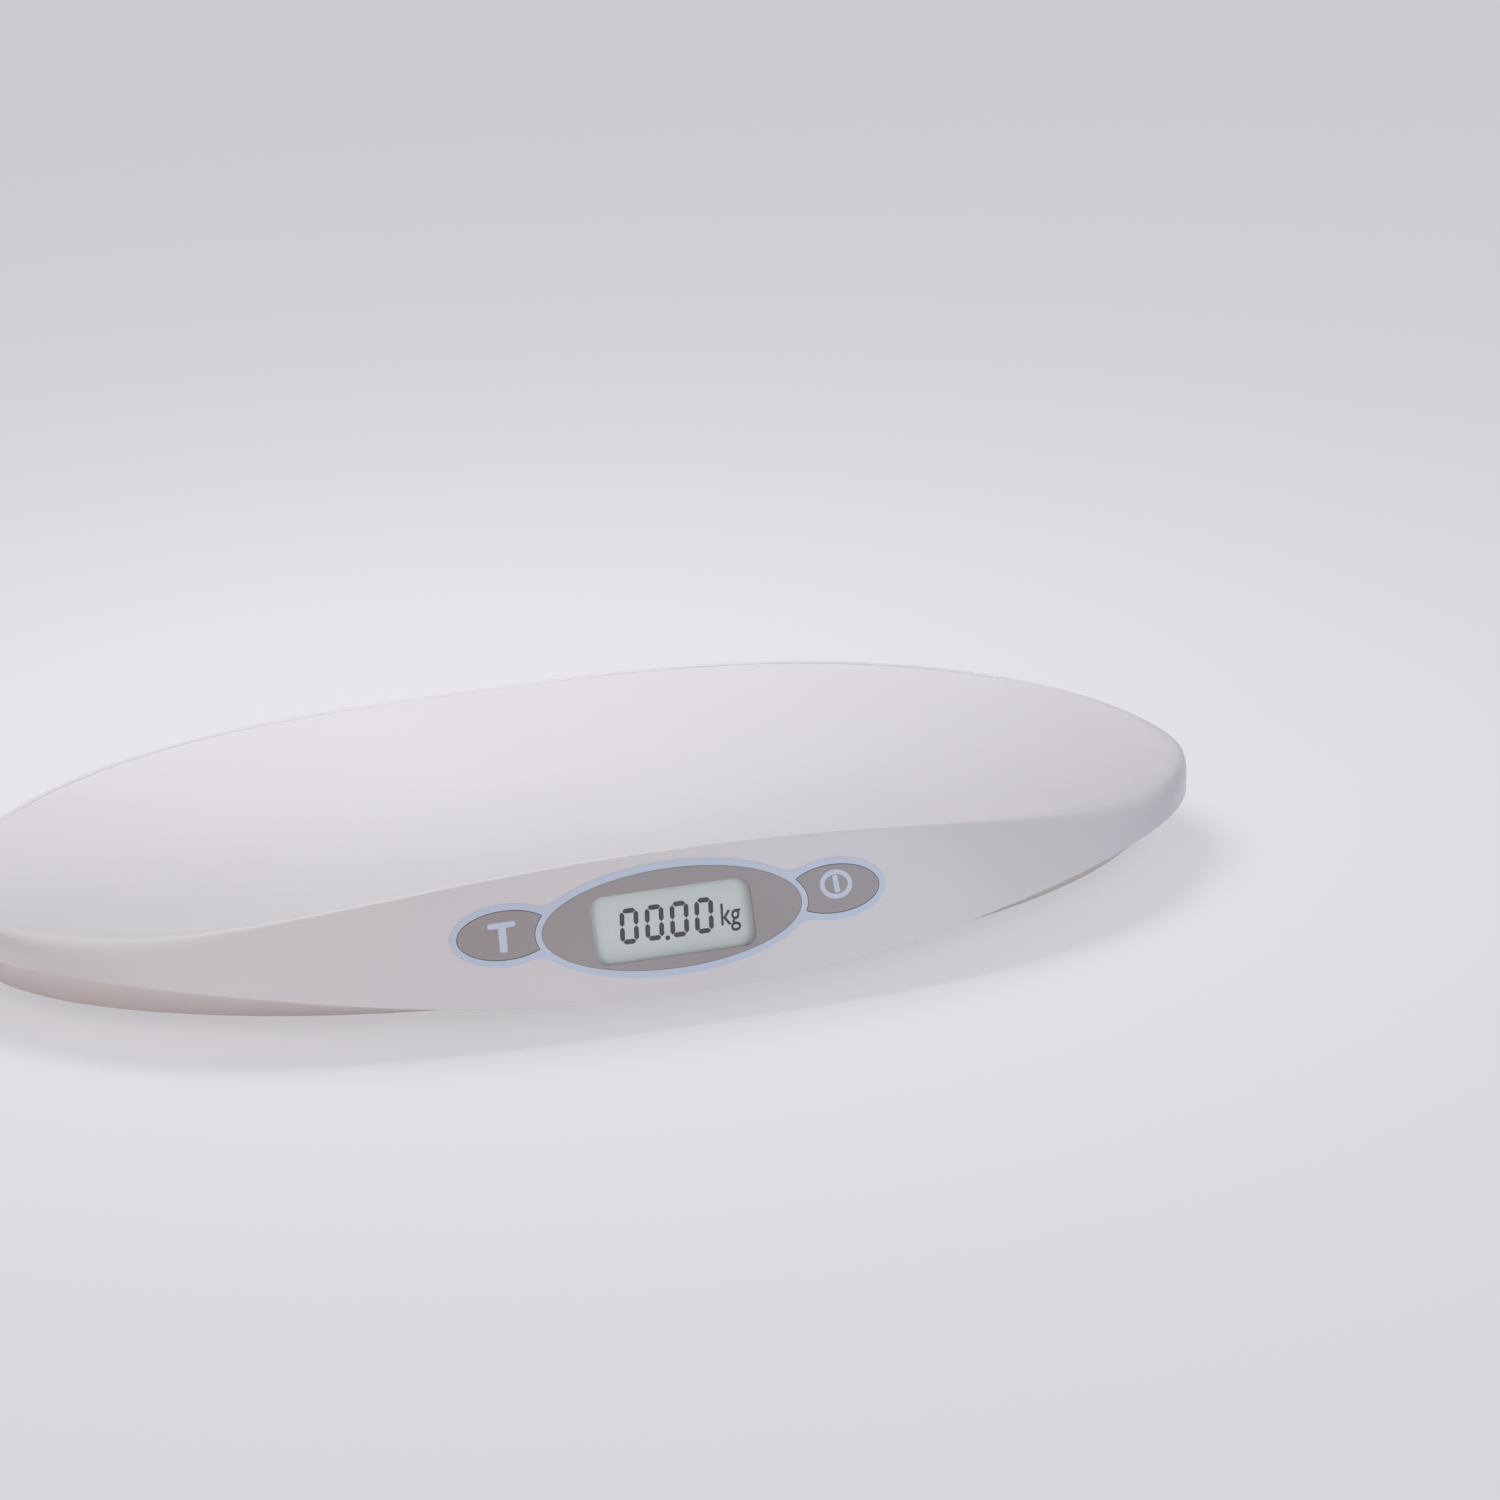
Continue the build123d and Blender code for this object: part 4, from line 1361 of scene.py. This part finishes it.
@dataclass
class DisplayUnit(Assembly):
    """Window, display glass and what it shows, with the board behind it. Lengths in millimetres.

    Args:
        glass_depth: Front of the display glass behind the panel plane.
        print_lift: How far the segments stand off the glass.
        print_thick: Thickness of the segments.
        digit_height: Height of a digit between its outer segments' middle lines.
        digit_width: The same for its width.
        segment_width: Width of one segment.
        segment_gap: Gap between two segments' points.
        waist: How far the upright segments run on past the digit's middle.
        slant: How far a digit's top leans over its foot, as a share of the height.
        digit_spots: Middles of the four digits.
        digit_middle: Middle of the digits above the panel's middle line.
        point: The decimal point.
        unit_text: The unit's letters.
        unit_spot: Foot of those letters.
        unit_size: Size of the letters.
        unit_weight: How far their outlines are thickened.
        unit_stretch: Their width and height as shares of the plain letters'.
    """

    finishes: ClassVar[dict[str, Finish]] = {
        "display_lens": CLEAR_WINDOW,
        "lcd_glass": DISPLAY_GLASS,
        "lcd_holder": WHITE_FRAME,
        "lcd_contact_strips": BLACK_RUBBER,
        "display_board": BOARD_GREEN,
        "board_screws": ZINC_STEEL,
        "measuring_chip": BLACK_PART,
        "cell_connector": CONNECTOR_WHITE,
        "buzzer": BLACK_PART,
        "tare_switch": BLACK_PART,
        "power_switch": BLACK_PART,
        "tare_plunger": CONNECTOR_WHITE,
        "power_plunger": CONNECTOR_WHITE,
    }
    glass_depth: float = 4.0
    print_lift: float = 0.06
    print_thick: float = 0.04
    digit_height: float = 13.8
    digit_width: float = 6.6
    segment_width: float = 2.2
    segment_gap: float = 0.25
    waist: float = 0.15
    slant: float = 0.1
    digit_spots: tuple[float, ...] = (-19.6, -7.7, 4.1, 15.8)
    digit_middle: float = -0.95
    point: Stroke = Stroke((-2.6, -8.6), (-2.4, -8.6), width=2.1)
    unit_text: str = "kg"
    unit_spot: Spot = (22.7, -6.5)
    unit_size: float = 12.6
    unit_weight: float = 0.1
    unit_stretch: Pair = (0.86, 1.12)

    def segment(self, start: Spot, end: Spot) -> Piece:
        """One segment: a bar with pointed ends.

        Args:
            start: One corner of the digit.
            end: The next corner.

        Returns:
            The flat segment.
        """
        (u0, v0), (u1, v1) = start, end
        half = (math.hypot(u1 - u0, v1 - v0) / 2 - self.segment_gap) * MM
        wide = self.segment_width / 2 * MM
        upper = [(half, 0), (half - wide, wide), (wide - half, wide)]
        shape = upper + [(-x, -y) for x, y in upper]
        deselect()
        bpy.ops.mesh.primitive_circle_add(vertices=len(shape), radius=wide, fill_type="NGON")
        made = newest("segment")
        for vertex, (x, y) in zip(made.data.vertices, shape):
            vertex.co = Vector((x, y, 0))
        middle = Matrix.Translation(((u0 + u1) / 2 * MM, (v0 + v1) / 2 * MM, 0))
        made.data.transform(middle @ Matrix.Rotation(math.atan2(v1 - v0, u1 - u0), 4, "Z"))
        return made

    def zero(self, u: float) -> list[Piece]:
        """The six lit segments of one zero.

        Args:
            u: Middle of the digit.

        Returns:
            The segments.
        """
        half, tall, v = self.digit_width / 2, self.digit_height / 2, self.digit_middle

        def lean(x: float, y: float) -> Spot:
            """Place of one corner in the slanted digit."""
            return u + x + self.slant * y, v + y

        pairs = [(lean(-half, y), lean(half, y)) for y in (tall, -tall)]
        for x in (-half, half):
            pairs.append((lean(x, -tall), lean(x, self.waist)))
            pairs.append((lean(x, -self.waist), lean(x, tall)))
        return [self.segment(a, b) for a, b in pairs]

    def unit(self) -> Piece:
        """The letters of the unit.

        Returns:
            The letters as a flat mesh.
        """
        deselect()
        bpy.ops.object.text_add()
        text = bpy.context.object
        text.data.body = self.unit_text
        text.data.size = self.unit_size * MM
        text.data.shear = self.slant
        text.data.offset = self.unit_weight * MM
        text.scale = (*self.unit_stretch, 1.0)
        bpy.ops.object.convert(target="MESH")
        text = newest("unit_letters")
        freeze(text)
        u, v = self.unit_spot
        text.data.transform(Matrix.Translation((u * MM, v * MM, 0)))
        return text

    def build(self, wardrobe: Wardrobe, form: TrayForm) -> None:
        """Dresses the display's nodes and lays the digits on the glass.

        Args:
            wardrobe: Where the finishes come from.
            form: The tray's curves, which place the panel.
        """
        self.dress(wardrobe)
        lit = [piece for u in self.digit_spots for piece in self.zero(u)]
        digits = join([*lit, self.point.build(), self.unit()], "display_digits")
        frame, height = form.panel(), (self.print_lift - self.glass_depth) * MM
        digits.data.transform(Matrix.Translation((0, 0, height)))
        digits.data.transform(frame)
        face_towards(digits, frame.to_3x3() @ Vector((0, 0, 1)))
        apply_modifier(digits, "SOLIDIFY", thickness=self.print_thick * MM, offset=-1.0)
        wardrobe.dress_piece(digits, DARK_SEGMENT, "housing")


# ---------------------------------------------------------------- casing, feet and batteries


class LowerCasing(Assembly):
    """The lower moulding with its feet, load cells and screws."""

    finishes: ClassVar[dict[str, Finish]] = {
        "lower_casing": GREY_CASING,
        "feet": FOOT_GREY,
        "foot_pads": BLACK_RUBBER,
        "load_cells": BARE_ALUMINIUM,
        "cell_screws": ZINC_STEEL,
        "casing_screws": ZINC_STEEL,
    }


class BatteryBay(Assembly):
    """The batteries, their contacts and the hinged door."""

    finishes: ClassVar[dict[str, Finish]] = {
        "battery_door": GREY_CASING,
        "batteries": BATTERY_JACKET,
        "contact_plates": NICKEL,
        "contact_springs": NICKEL,
    }


# ---------------------------------------------------------------- studio


@dataclass(frozen=True)
class Lamp:
    """One large soft lamp.

    Args:
        name: The lamp's name.
        place: Its place in metres.
        size: Its width in metres.
        power: Its power in watts.
        tone: Its colour.
    """

    name: str
    place: tuple[float, float, float]
    size: float
    power: float
    tone: Colour

    def build(self, target: Vector) -> None:
        """Adds the lamp.

        Args:
            target: The point that it looks at.
        """
        deselect()
        bpy.ops.object.light_add(type="AREA", location=self.place)
        lamp = newest(self.name)
        lamp.data.shape = "SQUARE"
        lamp.data.size = self.size
        lamp.data.energy = self.power
        lamp.data.color = self.tone
        lamp.rotation_euler = (target - Vector(self.place)).to_track_quat("-Z", "Y").to_euler()


@dataclass
class Studio:
    """Floor, soft light and camera, in metres.

    Args:
        floor_size: Width of the floor.
        floor_drop: Floor below the pads, so that their faces don't share its plane.
        floor_tone: Colour of the floor.
        floor_roughness: Its roughness.
        floor_specular: Strength of its plain reflection.
        floor_glow: Share of the floor that shows its set tone, whatever shadow lies on it.
        world_tone: Colour of the surroundings.
        world_strength: Strength of the surroundings.
        lamps: The lamps.
        target: The point that they look at.
        camera_place: The camera's place.
        camera_right: Its right.
        camera_up: Its up.
        camera_back: Its back.
        camera_clip: Nearest and furthest distance that it sees.
        lens: Its focal length in millimetres.
        sensor: Width of its sensor in millimetres.
    """

    floor_size: float = 40.0
    floor_drop: float = 0.00005
    floor_tone: Colour = srgb(238, 236, 241)
    floor_roughness: float = 0.9
    floor_specular: float = 0.1
    floor_glow: float = 0.56
    world_tone: Colour = (1.0, 0.985, 1.0)
    world_strength: float = 0.32
    lamps: tuple[Lamp, ...] = (
        Lamp("overhead_lamp", (0.0, 0.25, 0.72), size=0.5, power=3.55, tone=(0.98, 0.975, 1.0)),
        Lamp("left_lamp", (-1.6, -2.0, 0.35), size=0.9, power=15.5, tone=(1.0, 0.88, 0.8)),
        Lamp("right_lamp", (1.5, -2.1, 0.75), size=1.4, power=12.6, tone=(0.74, 0.86, 1.0)),
    )
    target: tuple[float, float, float] = (0.0, 0.0, 0.03)
    camera_place: tuple[float, float, float] = (-1.07260474, -3.52536583, 1.40432086)
    camera_right: tuple[float, float, float] = (0.94695975, -0.32043843, -0.02421664)
    camera_up: tuple[float, float, float] = (0.13034538, 0.31412816, 0.94039012)
    camera_back: tuple[float, float, float] = (-0.29373001, -0.89366812, 0.3392344)
    camera_clip: Pair = (0.05, 60.0)
    lens: float = 202.845
    sensor: float = 36.0

    @staticmethod
    def mix(tree: Tree, share: Socket, first: Node, second: Node) -> Node:
        """Mixes two shaders by a share.

        Args:
            tree: The material's tree.
            share: Socket that gives the share of the second one.
            first: The first shader.
            second: The second shader.

        Returns:
            The mixed shader.
        """
        mixed = tree.nodes.new("ShaderNodeMixShader")
        for socket, source in zip(mixed.inputs, (share, first.outputs[0], second.outputs[0])):
            tree.links.new(source, socket)
        return mixed

    def floor(self) -> None:
        """Lays the plain floor: its set tone and the shadow from above, and clear from below."""
        deselect()
        bpy.ops.mesh.primitive_plane_add(size=self.floor_size, location=(0, 0, -self.floor_drop))
        floor = newest("studio_floor")
        material = bpy.data.materials.new("studio_floor")
        material.use_nodes = True
        tree = material.node_tree
        surface, glow = tree.nodes["Principled BSDF"], tree.nodes.new("ShaderNodeEmission")
        surface.inputs["Base Color"].default_value = (*self.floor_tone, 1.0)
        surface.inputs["Roughness"].default_value = self.floor_roughness
        surface.inputs["Specular IOR Level"].default_value = self.floor_specular
        glow.inputs["Color"].default_value = (*self.floor_tone, 1.0)
        path = tree.nodes.new("ShaderNodeLightPath").outputs
        seen = path["Is Camera Ray"]
        for name in ("Is Glossy Ray", "Is Transmission Ray"):
            seen = combine(tree, "MAXIMUM", seen, path[name])
        above = self.mix(tree, combine(tree, "MULTIPLY", seen, self.floor_glow), surface, glow)
        below = tree.nodes.new("ShaderNodeNewGeometry").outputs["Backfacing"]
        whole = self.mix(tree, below, above, tree.nodes.new("ShaderNodeBsdfTransparent"))
        tree.links.new(whole.outputs[0], tree.nodes["Material Output"].inputs["Surface"])
        floor.data.materials.append(material)

    def surroundings(self) -> None:
        """Sets a pale world of even light."""
        world = bpy.data.worlds.new("studio_world")
        bpy.context.scene.world = world
        world.use_nodes = True
        sky = world.node_tree.nodes["Background"]
        sky.inputs["Color"].default_value = (*self.world_tone, 1.0)
        sky.inputs["Strength"].default_value = self.world_strength

    def camera(self) -> None:
        """Sets the camera."""
        deselect()
        bpy.ops.object.camera_add()
        camera = newest("studio_camera")
        camera.data.sensor_width = self.sensor
        camera.data.lens = self.lens
        camera.data.clip_start, camera.data.clip_end = self.camera_clip
        turn = Matrix((self.camera_right, self.camera_up, self.camera_back)).transposed().to_4x4()
        turn.translation = self.camera_place
        camera.matrix_world = turn
        bpy.context.scene.camera = camera

    def build(self) -> None:
        """Builds the whole studio."""
        self.floor()
        self.surroundings()
        for lamp in self.lamps:
            lamp.build(Vector(self.target))
        self.camera()
        bpy.context.scene.view_settings.view_transform = "Standard"


def main() -> None:
    """Builds and dresses the whole scale."""
    logging.basicConfig(level=logging.INFO, format="%(name)s: %(message)s")
    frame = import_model()
    wardrobe = Wardrobe(frame["nodes"])
    tray = WeighingTray()
    tray.build(wardrobe)
    TrayPosts(tray.form).build(wardrobe)
    ControlPanel().build(wardrobe, tray.form)
    DisplayUnit().build(wardrobe, tray.form)
    LowerCasing().dress(wardrobe)
    BatteryBay().dress(wardrobe)
    Studio().build()


if __name__ == "__main__":
    main()
